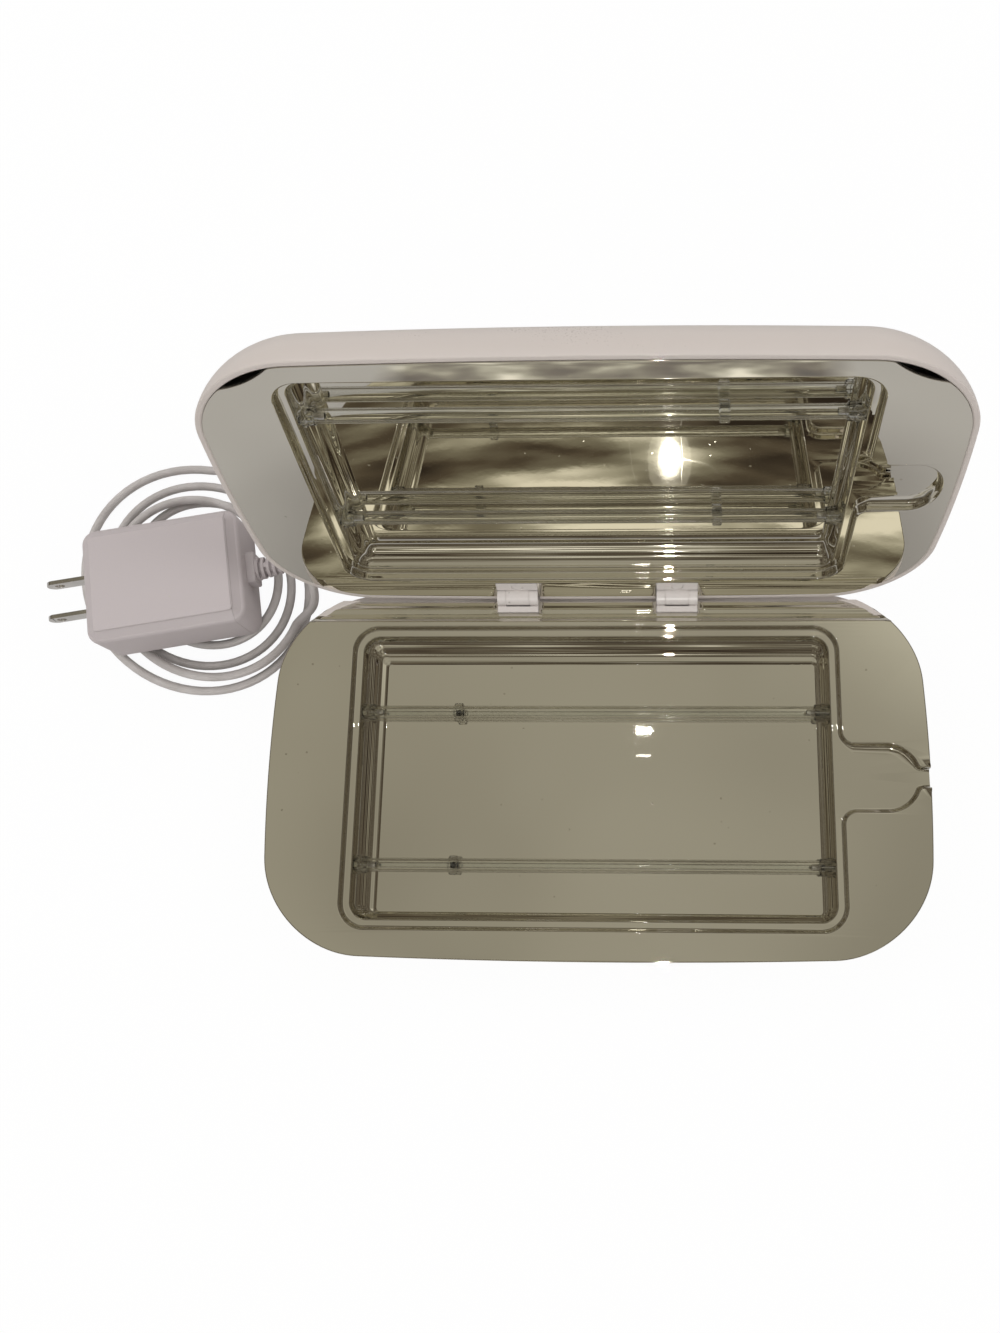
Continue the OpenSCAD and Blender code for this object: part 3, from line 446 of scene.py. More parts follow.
def makeSteel():
    # Bright plated metal with fine drawn lines along X and darker wear patches
    made, tree, shader, where = startMaterial("brightSteel")
    drawn = addNode(tree, "ShaderNodeMapping", {"Vector": where, "Scale": (60.0, 2600.0, 2600.0)})
    lines = noiseOf(tree, drawn.outputs["Vector"], 1.0, 2.0)["Fac"]
    grain = grainOf(tree, where, 900.0, 160.0, 0.14, 0.30)
    fill(tree, shader, {
        "Metallic": 1.0, "Roughness": grain["Roughness"],
        "Base Color": mixColours(tree, grain["Patches"], (0.80, 0.79, 0.77), (0.92, 0.91, 0.89))})
    addBump(tree, shader, lines, 0.25, 0.02)
    return made


def makeBoard():
    # Green resin over a pattern of tracks
    made, tree, shader, where = startMaterial("greenBoard")
    tracks = addNode(tree, "ShaderNodeTexBrick", {
        "Vector": where, "Scale": 160.0, "Mortar Size": 0.06, "Color1": (0.020, 0.105, 0.045, 1),
        "Color2": (0.026, 0.130, 0.055, 1), "Mortar": (0.055, 0.210, 0.090, 1)}).outputs
    grain = grainOf(tree, where, 1200.0, 120.0, 0.25, 0.4)
    fill(tree, shader, {"Base Color": tracks["Color"], "Roughness": grain["Roughness"]})
    addBump(tree, shader, tracks["Fac"], 0.3, 0.04)
    return made


def makeCordSkin():
    # Soft grey sheath: its pattern runs on the cord's own map, one unit a centimetre along it
    made, tree, shader, where = startMaterial("cordSkin", "UV")
    grain = grainOf(tree, where, 34.0, 1.3, 0.34, 0.48)
    marks = marksOf(tree, where, 0.02, scratchScale=1.2, dustScale=9.0)
    tint = mixColours(tree, grain["Patches"], (0.430, 0.405, 0.390), (0.500, 0.476, 0.462))
    fill(tree, shader, {"Base Color": mixColours(tree, marks["Dust"], tint, (0.36, 0.33, 0.31)),
                        "Roughness": grain["Roughness"]})
    addBump(tree, shader, grain["Height"], 0.18, 0.03)
    return made


materials = {name: makePlastic(name, v) for name, v in plastics.items()}
materials["mirror"] = makeMirror()
materials["lampGlass"] = makeGlass("lampGlass", (0.975, 0.985, 0.975), 0.004, 1.48, 50.0, 0.6)
materials["clearPlastic"] = makeGlass("clearPlastic", (0.98, 0.985, 0.98), 0.06, 1.25, 70.0, 0.1)
materials["steel"] = makeSteel()
materials["board"] = makeBoard()
materials["cord"] = makeCordSkin()
print("materials ready")


cordSizes = {
    "diameter": 3.2, "sides": 16, "startAngle": -20.0, "loopSteps": 24, "finer": 3, "routeSteps": 10,
    "upperTurns": 21 / 24, "climbTurns": 12 / 24, "lowerTurns": 56 / 24, "joinTurns": 0.06,
    "upperRadius": (39.6, 27.0), "lowerRadius": (27.0, 46.0), "innerMid": (-149.0, 74.5),
    "outerMid": (-152.5, 71.5), "stretch": (1.1, 0.93), "stretchAngle": 140.0, "rise": 3.8,
    "startRoute": [(-109.4, 73, 16.6), (-105.6, 68.4, 14.2), (-105.8, 61, 10)],
    "leadRoute": [(-134, 115.2, 1.6), (-114, 113.4, 1.7), (-94, 113.6, 1.7), (-80, 109.6, 2.8),
                  (-71, 101, 6.8), (-68.2, 92, 11.4)],
    "plugEnd": (-68.0, 83.6, 12.6), "plugRun": 12, "tuck": 0.05,
}
adapterSizes = {
    "place": (-155.0, 67.0, 20.2), "turn": 10.0, "tilt": 2.0, "length": 56.0, "width": 42.0, "height": 27.0,
    "cornerRadius": 5.0, "leastRadius": 0.7, "capStart": 24.0, "capGap": 0.04, "beyond": 60.0,
    "footRound": 3.2, "straight": (-4.0, 2.0), "shoulder": (5.2, 1.3, 2.2), "panelInset": 3.6,
    "panelEdge": [(-0.35, 1.05), (-0.12, 0.95), (0.02, 0.42), (0.12, 0.12), (0.38, 0.0)],
    "bladeYs": (-6.35, 6.35), "slotHalf": (0.8, 3.225), "slotRun": (-2, 4), "softEdge": 0.22,
    "collar": (3.0, 11.6, 9.0), "collarRadius": 1.2, "reliefLength": 10.0, "reliefRadii": (4.3, 2.9),
    "reliefCore": 2.45, "ribs": 5,
}


def fromAdapter(points):
    # Adapter frame to box millimetres: tilted about its Y, turned about Z, and lifted onto the coil
    p = asMade(points)
    tilt, turn = (math.radians(adapterSizes[k]) for k in ("tilt", "turn"))
    x = p[:, 0] * math.cos(tilt) + p[:, 2] * math.sin(tilt)
    z = p[:, 2] * math.cos(tilt) - p[:, 0] * math.sin(tilt)
    turnedX = x * math.cos(turn) - p[:, 1] * math.sin(turn)
    turnedY = x * math.sin(turn) + p[:, 1] * math.cos(turn)
    return np.stack([turnedX, turnedY, z], 1) + adapterSizes["place"]


def toAdapter(points):
    return toTable(fromAdapter(points))


def coilPoints(v, t):
    # The loops by turns t: a radius that first shrinks and then grows, on an ellipse stretched along one
    # line, round a centre that drifts, while the height eases down from the upper layer to the table
    climbEnd = v["upperTurns"] + v["climbTurns"]
    grown = np.maximum((t - climbEnd) / v["lowerTurns"], 0)
    share = np.where(t < v["upperTurns"], 1 - t / v["upperTurns"], grown)
    upper = v["upperRadius"][1] + (v["upperRadius"][0] - v["upperRadius"][1]) * share
    lower = v["lowerRadius"][0] + (v["lowerRadius"][1] - v["lowerRadius"][0]) * share
    radius = np.where(t < climbEnd, upper, lower)
    down = np.clip((t - v["upperTurns"]) / v["climbTurns"], 0, 1)
    height = v["diameter"] / 2 + v["rise"] * (1 - down * down * (3 - 2 * down))
    angle = math.radians(v["startAngle"]) - 2 * math.pi * t
    lean = math.radians(v["stretchAngle"])
    along, across = np.cos(angle - lean) * v["stretch"][0], np.sin(angle - lean) * v["stretch"][1]
    x = along * math.cos(lean) - across * math.sin(lean)
    y = along * math.sin(lean) + across * math.cos(lean)
    mid = np.array(v["innerMid"]) + np.outer(share, np.array(v["outerMid"]) - v["innerMid"])
    return np.stack([mid[:, 0] + radius * x, mid[:, 1] + radius * y, height], 1)


def smoothThrough(points, steps):
    # A Catmull-Rom curve through all but the outer two points, which give its end directions
    p = asMade(points)
    t = (np.arange(steps) / steps)[None, :, None]
    a, b, c, d = (p[k:len(p) - 3 + k][:, None, :] for k in range(4))
    bends = (2 * a - 5 * b + 4 * c - d) * t ** 2
    curve = 0.5 * (2 * b + (c - a) * t + bends + (3 * b - a - 3 * c + d) * t ** 3)
    return np.concatenate([curve.reshape(-1, 3), p[-2:-1]])


def cordRoute(v):
    # From the plug along the lead, through the loops outside in, and up to the adapter
    turns = v["upperTurns"] + v["climbTurns"] + v["lowerTurns"]
    coil = coilPoints(v, np.linspace(0, turns, round(turns * v["loopSteps"]) * v["finer"] + 1))
    within, short = (coilPoints(v, np.array([t])) for t in (v["joinTurns"], turns - v["joinTurns"]))
    collarEnd = adapterSizes["length"] / 2 + adapterSizes["collar"][0]
    back = fromAdapter([(collarEnd, 0, 0), (collarEnd + adapterSizes["reliefLength"] + v["tuck"], 0, 0)])
    first = smoothThrough(np.vstack([back, v["startRoute"], coil[0], within]), v["routeSteps"])
    plug = np.array(v["plugEnd"])
    last = smoothThrough(np.vstack([short, coil[-1], v["leadRoute"], plug, plug - [0, v["plugRun"], 0]]),
                         v["routeSteps"])
    return np.vstack([first[:-1], coil, last[1:]])[::-1]


def sweepTube(path, radius, sides, name):
    # Rings square to the path, carried along it without twist from the level direction, and closed at both
    # ends. Their map counts centimetres along the path and shares of a turn round it.
    ahead = np.gradient(path, axis=0)
    ahead /= np.linalg.norm(ahead, axis=1)[:, None]
    side = np.cross([0, 0, 1.0], ahead)
    side /= np.linalg.norm(side, axis=1)[:, None]
    rise = np.cross(ahead, side)
    angle = np.linspace(0, 2 * math.pi, sides, endpoint=False)
    ring = np.cos(angle)[None, :, None] * side[:, None] + np.sin(angle)[None, :, None] * rise[:, None]
    grid = path[:, None] + radius * ring
    data = editMesh(rawMesh(name, grid.reshape(-1, 3), tubeFaces(len(path), sides)), turnOut)
    along = np.concatenate([[0], np.cumsum(np.linalg.norm(np.diff(path, axis=0), axis=1))]) / 10
    corner = np.zeros(len(data.loops), int)
    data.loops.foreach_get("vertex_index", corner)
    spots = np.stack([along[corner // sides], (corner % sides) / sides], 1)
    data.uv_layers.new(name="cordMap").data.foreach_set("uv", spots.ravel())
    return data


route = cordRoute(cordSizes)
cordData = placed(sweepTube(route, cordSizes["diameter"] / 2, cordSizes["sides"], "powerCord"), toTable)
powerCord = makePiece("powerCord", cordData, "base", "cord", ("cord_lead", "cord_coil", "cord_start"), 60)


def boxOutline(inset, cornerSteps=body["cornerSteps"]):
    # A rounded rectangle, counter-clockwise from its right side, whose sides bow: x shrinks with the square
    # of y and y with the square of x
    width, depth = body["width"] - 2 * inset, body["depth"] - 2 * inset
    radius = max(body["cornerRadius"] - inset, 2)
    mids = np.array([(1, 1), (-1, 1), (-1, -1), (1, -1)]) * (np.array([width, depth]) / 2 - radius)
    run = np.linspace(0, 1, body["edgeSteps"] + 1)[1:-1, None]
    parts = []
    for q in range(4):
        angle = math.pi / 2 * (q + np.linspace(0, 1, cornerSteps + 1))
        arc = mids[q] + radius * np.stack([np.cos(angle), np.sin(angle)], 1)
        nextStart = mids[(q + 1) % 4] + radius * np.array([math.cos(angle[-1]), math.sin(angle[-1])])
        parts += [arc, arc[-1] + (nextStart - arc[-1]) * run]
    p = np.concatenate(parts)
    return np.stack([p[:, 0] * (1 - 2 * body["bowX"] / width * (2 * p[:, 1] / depth) ** 2),
                     p[:, 1] * (1 - 2 * body["bowY"] / depth * (2 * p[:, 0] / width) ** 2)], 1)


def arcPoints(x, y, radius, start, end, count=14):
    angle = np.radians(np.linspace(start, end, count + 1))
    return np.stack([x + radius * np.cos(angle), y + radius * np.sin(angle)], 1)


def bendPoints(first, corner, last, count=8):
    # A quadratic curve from the first point to the last, drawn towards the corner
    t = np.linspace(0, 1, count + 1)[:, None]
    return (1 - t) ** 2 * np.array(first) + 2 * t * (1 - t) * np.array(corner) + t ** 2 * np.array(last)


def stepPath(v, edgeX=None):
    # The edge of the first step, clockwise from the slot's front side at the box's edge, round the cable
    # pocket and the tray, and back to the slot's rear side. Without an edge the pocket's end is closed, and
    # so is the path.
    x, y, r, f, s, c = (v[k] for k in ("pocketX", "pocketY", "pocketRadius", "flare", "slotHalf", "radius"))
    if edgeX is None:
        centre, shorter = np.array([x, y]), [v["closedReach"] / r, 1]
        starts = [centre + (arcPoints(x, y, r, 0, -90, 24) - centre) * shorter]
        ends = [(centre + (arcPoints(x, y, r, 90, 0, 24) - centre) * shorter)[:-1]]
    else:
        soft = v["mouthSoft"]
        mouth = math.degrees(math.asin(s / r) + soft / r)
        join = x + math.sqrt(r * r - s * s)
        near, far = arcPoints(x, y, r, -mouth, -90, 20), arcPoints(x, y, r, 90, mouth, 20)
        starts = [[(edgeX, y - s)], bendPoints((join + soft, y - s), (join, y - s), near[0]), near[1:]]
        ends = [far[:-1], bendPoints(far[-1], (join, y + s), (join + soft, y + s)), [(edgeX, y + s)]]
    left, right, front, back = v["left"] + c, v["right"] - c, v["front"] + c, v["back"] - c
    return np.vstack([
        *starts, arcPoints(v["right"] + f, y - r - f, f, 90, 180), arcPoints(right, front, c, 0, -90, 20),
        arcPoints(left, front, c, -90, -180, 20), arcPoints(left, back, c, 180, 90, 20),
        arcPoints(right, back, c, 90, 0, 20), arcPoints(v["right"] + f, y + r + f, f, 180, 270), *ends])


def outwardOf(path, closed=False):
    # For each point, the left normal halfway between its segments, lengthened so that offsets are parallel
    steps = np.diff(np.vstack([path, path[:1]]) if closed else path, axis=0)
    steps /= np.linalg.norm(steps, axis=1)[:, None]
    left = np.stack([-steps[:, 1], steps[:, 0]], 1)
    if closed:
        before, after = np.roll(left, 1, axis=0), left
    else:
        before, after = np.vstack([left[:1], left]), np.vstack([left, left[-1:]])
    middle = before + after
    middle /= np.linalg.norm(middle, axis=1)[:, None]
    return middle / np.sum(middle * after, axis=1)[:, None]


def sweepProfile(path, normals, profile, reach=None):
    # Each profile point is an offset along the path's normal and a height. Where a reach is given, it
    # lengthens the inward offsets point by point.
    profile = asMade(profile)
    offsets = np.broadcast_to(profile[None, :, :1], (len(path), len(profile), 1))
    if reach is not None:
        offsets = np.where(offsets < 0, offsets * reach[:, None, None], offsets)
    flat = path[:, None] + normals[:, None] * offsets
    return np.concatenate([flat, np.broadcast_to(profile[None, :, 1:], flat.shape[:2] + (1,))], 2)


def quarterTurn(offset, z, runOffset, runZ, startUp, count=6):
    # A quarter ellipse in the profile: it leaves one end level and meets the other upright, or the reverse
    t = np.linspace(0, math.pi / 2, count + 1)
    if startUp:
        return np.stack([offset + runOffset * (1 - np.cos(t)), z + runZ * np.sin(t)], 1)
    return np.stack([offset + runOffset * np.sin(t), z + runZ * (1 - np.cos(t))], 1)


def roundedRing(x0, x1, y0, y1, radius, cornerSteps=14, edgeSteps=16):
    # A rounded rectangle with the same number of points whatever its size, clockwise from the right side
    mids = [(x1 - radius, y0 + radius, 0), (x0 + radius, y0 + radius, -90), (x0 + radius, y1 - radius, -180),
            (x1 - radius, y1 - radius, -270)]
    run = np.linspace(0, 1, edgeSteps + 1)[1:-1, None]
    parts = []
    for (x, y, start), (nextX, nextY, nextStart) in zip(mids, mids[1:] + mids[:1]):
        arc = arcPoints(x, y, radius, start, start - 90, cornerSteps)
        turn = math.radians(nextStart)
        after = np.array([nextX + radius * math.cos(turn), nextY + radius * math.sin(turn)])
        parts += [arc, arc[-1] + (after - arc[-1]) * run]
    return np.concatenate(parts)


def wellRings(v, lip):
    # The tray below its ledge: a small rounded lip, then walls that ease down to the floor, part quarter
    # ellipse, part parabola and part straight with a low ripple, with corners that tighten towards it
    ledge = v["ledge"]
    x0, x1, y0, y1 = v["left"] + ledge, v["right"] - ledge, v["front"] + ledge, v["back"] - ledge
    r = v["radius"] - ledge
    rings = []
    for t in np.linspace(0, math.pi / 2, 6)[:-1]:
        g = lip * (1 - math.sin(t))
        z = -v["step"] - lip * (1 - math.cos(t))
        rings.append(lifted(roundedRing(x0 - g, x1 + g, y0 - g, y1 + g, r + g), z))
    drop = v["depth"] - v["step"] - lip
    curve, bow, straight = v["wallShares"]
    for t in np.append(np.linspace(0, math.pi / 2, 38)[:-1], [math.pi / 2 - 0.02, math.pi / 2]):
        s = 1 - math.cos(t)
        down = curve * math.sin(t) + bow * (1 - (1 - s) ** 2) + straight * s
        down += v["wallRipple"] * math.sin(4 * math.pi * s)
        ring = roundedRing(x0 + (v["floorLeft"] - x0) * s, x1 + (v["floorRight"] - x1) * s,
                           y0 + (v["floorFront"] - y0) * s, y1 + (v["floorBack"] - y1) * s,
                           r + (v["floorRadius"] - r) * s ** v["cornerEase"])
        rings.append(lifted(ring, -v["step"] - lip - drop * down))
    return np.array(rings)


reflector = {
    "stepEdge": 0.75, "stepFoot": 0.9, "wellLip": 0.6, "sheet": 0.9, "outerEdge": 0.45, "lipStart": 51.2,
    "lipStepRun": 1.5, "lipStepDrop": 1.0, "lipRipple": 0.3, "lipEnd": 59.2, "lipRound": 2.9,
    "lipDrop": 4.15, "sideFrom": (60, 40), "notchHalf": 7.3, "baseNotch": 54.55, "lidNotch": 52.05,
    "rearFrom": 55, "rearHalf": 60, "lidInset": 2.03, "lidCornerSteps": 48, "lidEdge": 0.15,
    "gapPlace": (91.9, -55.8), "gapHalf": 8.9, "gapDepth": 2.5, "gapWay": (0.45, 0.89), "pocketFoot": 2.8,
    "pocketLift": 1.35, "easeX": (1, 5), "easeY": (2, 6),
}


def openRing(ring, low, high):
    # Opens an outline at its right side between two values of y, counter-clockwise from the upper one
    side, rest = ring[1 - body["edgeSteps"]:], ring[:1 - body["edgeSteps"]]
    sideX, sideY = (np.append(rest[-1:, k], [*side[:, k], rest[0, k]]) for k in (0, 1))
    atHigh, atLow = np.interp(high, sideY, sideX), np.interp(low, sideY, sideX)
    return np.vstack([[(atHigh, high)], side[side[:, 1] > high], rest, side[side[:, 1] < low],
                      [(atLow, low)]])


def notchSides(v):
    return body["knuckleXs"][1] + v["notchHalf"], body["knuckleXs"][1] - v["notchHalf"]


def notched(rear, v, depthY):
    # The rear edge from right to left, with a square notch for each knuckle
    points = []
    xs, ys = rear[::-1, 0], rear[::-1, 1]
    for middle in body["knuckleXs"][::-1]:
        left, right = around(middle, v["notchHalf"])
        points += [(right, np.interp(right, xs, ys)), (right, depthY), (left, depthY),
                   (left, np.interp(left, xs, ys))]
    return np.array(points)


def frontGaps(ring, v):
    # Presses the outline in at both front corners, most at the gap's middle and nothing at its ends
    for x in around(0, v["gapPlace"][0]):
        away = np.hypot(ring[:, 0] - x, ring[:, 1] - v["gapPlace"][1]) / v["gapHalf"]
        depth = v["gapDepth"] * np.clip(1 - away ** 2, 0, 1)
        ring = ring + depth[:, None] * np.array([-math.copysign(v["gapWay"][0], x), v["gapWay"][1]])
    return ring


def rollStrips(v, ring):
    # The base's rear edge steps down, rolls on in a rippled quarter ellipse and ends in a short upright
    # face, with a gap at each knuckle
    start, depth = v["lipStart"] + v["lipStepRun"], v["lipStepDrop"]
    run = v["lipEnd"] - start
    notchTurn = math.asin((v["baseNotch"] - start) / run)
    turns = np.concatenate([np.linspace(0, notchTurn, 7), np.linspace(notchTurn, math.pi / 2, 24)[1:]])
    sink = np.linspace(0, 1, 8)[:-1]
    y = np.concatenate([v["lipStart"] + v["lipStepRun"] * sink, start + run * np.sin(turns), [v["lipEnd"]]])
    z = np.concatenate([-depth * (1 - np.cos(math.pi * sink)) / 2,
                        -depth - (v["lipRound"] - depth) * (1 - np.cos(turns))
                        - v["lipRipple"] * (1 - np.cos(4 * math.pi * np.sin(turns))) / 2, [-v["lipDrop"]]])
    notchRows = len(sink) + 7
    half = ring[(ring[:, 0] > v["sideFrom"][0]) & (ring[:, 1] > v["sideFrom"][1])]
    reach = np.interp(y, half[:, 1], half[:, 0])
    right, left = notchSides(v)
    lines = [reach, *(np.full(len(y), x) for x in (right, left, -left, -right)), -reach]
    strips = []
    for k in range(5):
        rows, count = (slice(0, notchRows), 8) if k % 2 else (slice(0, len(y)), 24)
        x = lines[k][rows] + (lines[k + 1] - lines[k])[rows] * np.linspace(0, 1, count)[:, None]
        strips.append(np.stack([x, np.broadcast_to(y[rows], x.shape), np.broadcast_to(z[rows], x.shape)], 2))
    return strips


def baseEdges(ring, strips):
    # The outline up to the roll on either side, and the line between them where the roll starts
    line = np.vstack([strip[:-1, 0, :2] for strip in strips] + [strips[-1][-1:, 0, :2]])
    beyond = np.nonzero(ring[:, 1] > line[0, 1])[0]
    return [np.vstack([ring[:beyond[0]], line[:1]]), np.vstack([line[-1:], ring[beyond[-1] + 1:]])], [line]


def lidEdges(ring, v):
    # The outline in three runs, with the inner corners of a notch between each two
    rear = np.nonzero((ring[:, 1] > v["rearFrom"]) & (np.abs(ring[:, 0]) < v["rearHalf"]))[0]
    line = ring[rear]
    notch = notched(line, v, v["lidNotch"])
    right, left = notchSides(v)
    paths = [np.vstack([ring[:rear[0]], line[line[:, 0] > right], notch[:1]]),
             np.vstack([notch[3:4], line[np.abs(line[:, 0]) < left], notch[4:5]]),
             np.vstack([notch[7:], line[line[:, 0] < -right], ring[rear[-1] + 1:]])]
    return paths, [notch[1:3], notch[5:7]]


def reflectorSheet(v, forLid):
    sheet = Sheet()
    edge, foot = v["stepEdge"], v["stepFoot"]
    low, high = around(tray["pocketY"], 0.0 if forLid else tray["slotHalf"] + edge)
    small = v["lidEdge"] if forLid else v["outerEdge"]
    outline = frontGaps(boxOutline(v["lidInset"], v["lidCornerSteps"]), v) if forLid else boxOutline(0.0)
    ring = openRing(outline, low, high)
    strips = [] if forLid else rollStrips(v, ring)
    for strip in strips:
        sheet.addGrid(strip)
    paths, joins = lidEdges(ring, v) if forLid else baseEdges(ring, strips)
    # Outer edge, rounded over its top
    profile = np.vstack([quarterTurn(-small, 0, small, -small, False, 4), [(0, -v["sheet"])]])
    border = []
    for k, path in enumerate(paths):
        sheet.addGrid(sweepProfile(path, -outwardOf(path), profile))
        border.append(path + outwardOf(path) * small)
        border += joins[k:k + 1]
    border = np.vstack(border)
    # Step round the tray and the pocket, whose rear side slopes down more gently
    path = stepPath(tray) if forLid else stepPath(tray, border[0, 0] + small)
    profile = np.vstack([quarterTurn(edge, 0, -edge, -edge, False),
                         quarterTurn(0, -tray["step"] + foot, -foot, -foot, True)])
    slope = (np.clip((path[:, 1] - tray["pocketY"] - v["easeY"][0]) / v["easeY"][1], 0, 1)
             * np.clip((path[:, 0] - tray["right"] - v["easeX"][0]) / v["easeX"][1], 0, 1))
    ease = slope * slope * (3 - 2 * slope)
    grid = sweepProfile(path, outwardOf(path, forLid), profile, 1 + v["pocketFoot"] * ease)
    lower = (grid[..., 2] + tray["step"]) * (1 + v["pocketLift"] * ease)[:, None]
    grid[..., 2] = np.where(grid[..., 2] < -edge - 1e-6, lower - tray["step"], grid[..., 2])
    sheet.addGrid(grid, closeRows=forLid)
    top = grid[:, 0, :2]
    sheet.addFlat([border[:-1], top] if forLid else [np.vstack([border[1:-1], top])], 0.0)
    # Ledge, pocket and slot floor, then the well and its floor
    rings = wellRings(tray, v["wellLip"])
    sheet.addFlat([grid[:, -1, :2], rings[0][:, :2]], -tray["step"])
    sheet.addGrid(rings, closeColumns=True)
    sheet.addFlat([rings[-1][:, :2]], -tray["depth"])
    return sheet


def faceUp(work):
    # Turns a sheet so that its largest face looks up
    if max(work.faces, key=lambda f: f.calc_area()).normal.z < 0:
        bmesh.ops.reverse_faces(work, faces=work.faces)


def makeReflector(name, forLid, replaced, bodyName):
    data = reflectorSheet(reflector, forLid).mesh(name, toLid if forLid else toBase, turnOut, faceUp)
    obj = makePiece(name, data, bodyName, "mirror", replaced)
    thick = obj.modifiers.new("sheetThickness", "SOLIDIFY")
    thick.thickness = reflector["sheet"] * mm
    thick.offset = -1
    addEvenNormals(obj)


makeReflector("baseReflector", False, ("base_liner",), "base")
makeReflector("lidReflector", True, ("lid_liner",), "lid")
print("reflectors ready")


def blockMesh(xs, ys, zs):
    # A closed box from its limits, used only to cut or join
    return Sheet([boxPart(xs, ys, zs)]).mesh("tool", asMade, turnOut)


def rodMesh(centre, radius, start, end, alongX=False, sides=48):
    # A closed rod upright or along X, used only to cut or join
    angle = np.linspace(0, 2 * math.pi, sides, endpoint=False)
    ring = np.stack([centre[0] + radius * np.cos(angle), centre[1] + radius * np.sin(angle)], 1)
    rings = np.array([lifted(ring, start), lifted(ring, end)])
    return stackMesh("tool", rings[..., [2, 0, 1]] if alongX else rings)


def joined(meshes):
    # Several closed tools that don't touch, as one mesh
    work = bmesh.new()
    for data in meshes:
        work.from_mesh(data)
    result = bpy.data.meshes.new("tool")
    work.to_mesh(result)
    work.free()
    return result


def carve(data, name, steps):
    # Applies unions, cuts and intersections in turn and returns the resulting mesh
    target, *tools = [bpy.data.objects.new("tool", each) for each in (data, *(step[1] for step in steps))]
    for obj in [target, *tools]:
        scene.collection.objects.link(obj)
    for step, tool in zip(steps, tools):
        cut = target.modifiers.new("cut", "BOOLEAN")
        cut.operation, cut.solver, cut.object = step[0], "MANIFOLD", tool
    bpy.context.view_layer.update()
    result = bpy.data.meshes.new_from_object(target.evaluated_get(bpy.context.evaluated_depsgraph_get()))
    for obj in [target, *tools]:
        bpy.data.objects.remove(obj)
    editMesh(result, weldBy(0.004)).name = name
    return result


def shellSolid(name, top, rimRound, rings=22):
    # Rings from the flat face up a quarter ellipse to the rim, over it, and down the inner quarter ellipse
    run, height, wall = body["sideRun"], body["halfHeight"] + top, body["wall"]
    t = np.linspace(math.pi / 2, 0, rings)
    outer = [(run * (1 - math.cos(a)), top - height * math.sin(a)) for a in t[:-1]]
    inner = [(wall + (run - wall) * (1 - math.cos(a)), top - (height - wall) * math.sin(a))
             for a in t[::-1][1:]]
    half, little = 0.5 * rimRound, 0.13 * rimRound
    rim = [(0, top - rimRound), (little, top - half), (half, top - little), (rimRound, top),
           (wall - rimRound, top), (wall - little, top - half)]
    low = top - rimRound
    stack = [p for p in outer if p[1] < low - 0.05] + rim + [p for p in inner if p[1] < low]
    return stackMesh(name, [lifted(boxOutline(inset), z) for inset, z in stack])


def outerSolid(name, top, hair=0.02, rings=22):
    # The space within a shell's outer skin, a hair smaller
    run, height = body["sideRun"] - hair, body["halfHeight"] + top - hair
    return stackMesh(name, [lifted(boxOutline(hair + run * (1 - math.cos(a))),
                                   top - hair - height * math.sin(a))
                            for a in np.linspace(math.pi / 2, 0, rings)])


shell = {
    "rimBelow": 1.2, "baseRimRound": 0.3, "lidRimRound": 0.55, "grooveDepth": 4.2, "grooveY": 59.2,
    "grooveWall": (3, 2, 0.5), "bayX": -59.0, "bayHalf": 19.0, "bayLow": -17.2, "bayHigh": -6.6,
    "bayWall": 1.5, "panelBack": 54.65, "panelSeat": 1.8, "slotRun": 6, "slotDeeper": 0.1,
    "knuckleLeaf": 5.7, "knuckleHalf": 7.15, "screwX": 92.2, "screwYs": (-21.95, 28.95), "screwTop": -16.3,
    "screwHole": 3.1, "boss": 3.6, "bossTop": -9, "lidLeaf": 8.2, "lidKnuckleHalf": 7.45,
    "lidLeafHalf": 7.3, "barrelRoom": 3.5, "lensY": -28.05, "lensHole": 3.05,
}


def makeBaseShell(v):
    top, deep, below = -v["rimBelow"], -v["grooveDepth"], -body["halfHeight"]
    w, d = body["width"], body["depth"]
    back, under, over = v["grooveWall"]
    wall, half = v["bayWall"], v["bayHalf"]
    screws = [(x, y) for x in around(0, v["screwX"]) for y in v["screwYs"]]
    blocks = carve(blockMesh((-w, w), (v["grooveY"] - back, d), (deep - under, deep + over)), "blocks", [
        ("UNION", blockMesh((v["bayX"] - half - wall, v["bayX"] + half + wall), (v["panelBack"], d),
                            (v["bayLow"] - wall, v["bayHigh"] + wall))),
        ("UNION", joined([rodMesh(spot, v["boss"], below - 1, v["bossTop"]) for spot in screws])),
        ("INTERSECT", outerSolid("limit", top)),
    ])
    slotLow = -tray["step"] - reflector["sheet"] - v["slotDeeper"]
    data = carve(shellSolid("baseShell", top, v["baseRimRound"]), "baseShell", [
        ("UNION", blocks),
        ("DIFFERENCE", blockMesh((-w, w), (v["grooveY"], d), (deep, 3))),
        ("DIFFERENCE", blockMesh(around(v["bayX"], half), (v["panelBack"] - v["panelSeat"], d),
                                 (v["bayLow"], v["bayHigh"]))),
        ("DIFFERENCE", blockMesh((w / 2 - v["slotRun"], w), around(tray["pocketY"], tray["slotHalf"]),
                                 (slotLow, 3))),
        *[("DIFFERENCE", blockMesh(around(x, v["knuckleHalf"]), (body["axisY"] - v["knuckleLeaf"], d),
                                   (deep - 0.02, 3))) for x in body["knuckleXs"]],
        ("DIFFERENCE", joined([rodMesh(spot, v["screwHole"], below - 3, v["screwTop"]) for spot in screws])),
    ])
    makePiece("baseShell", placed(data, toBase), "base", "whiteShell", ("base_shell",), 28, True)


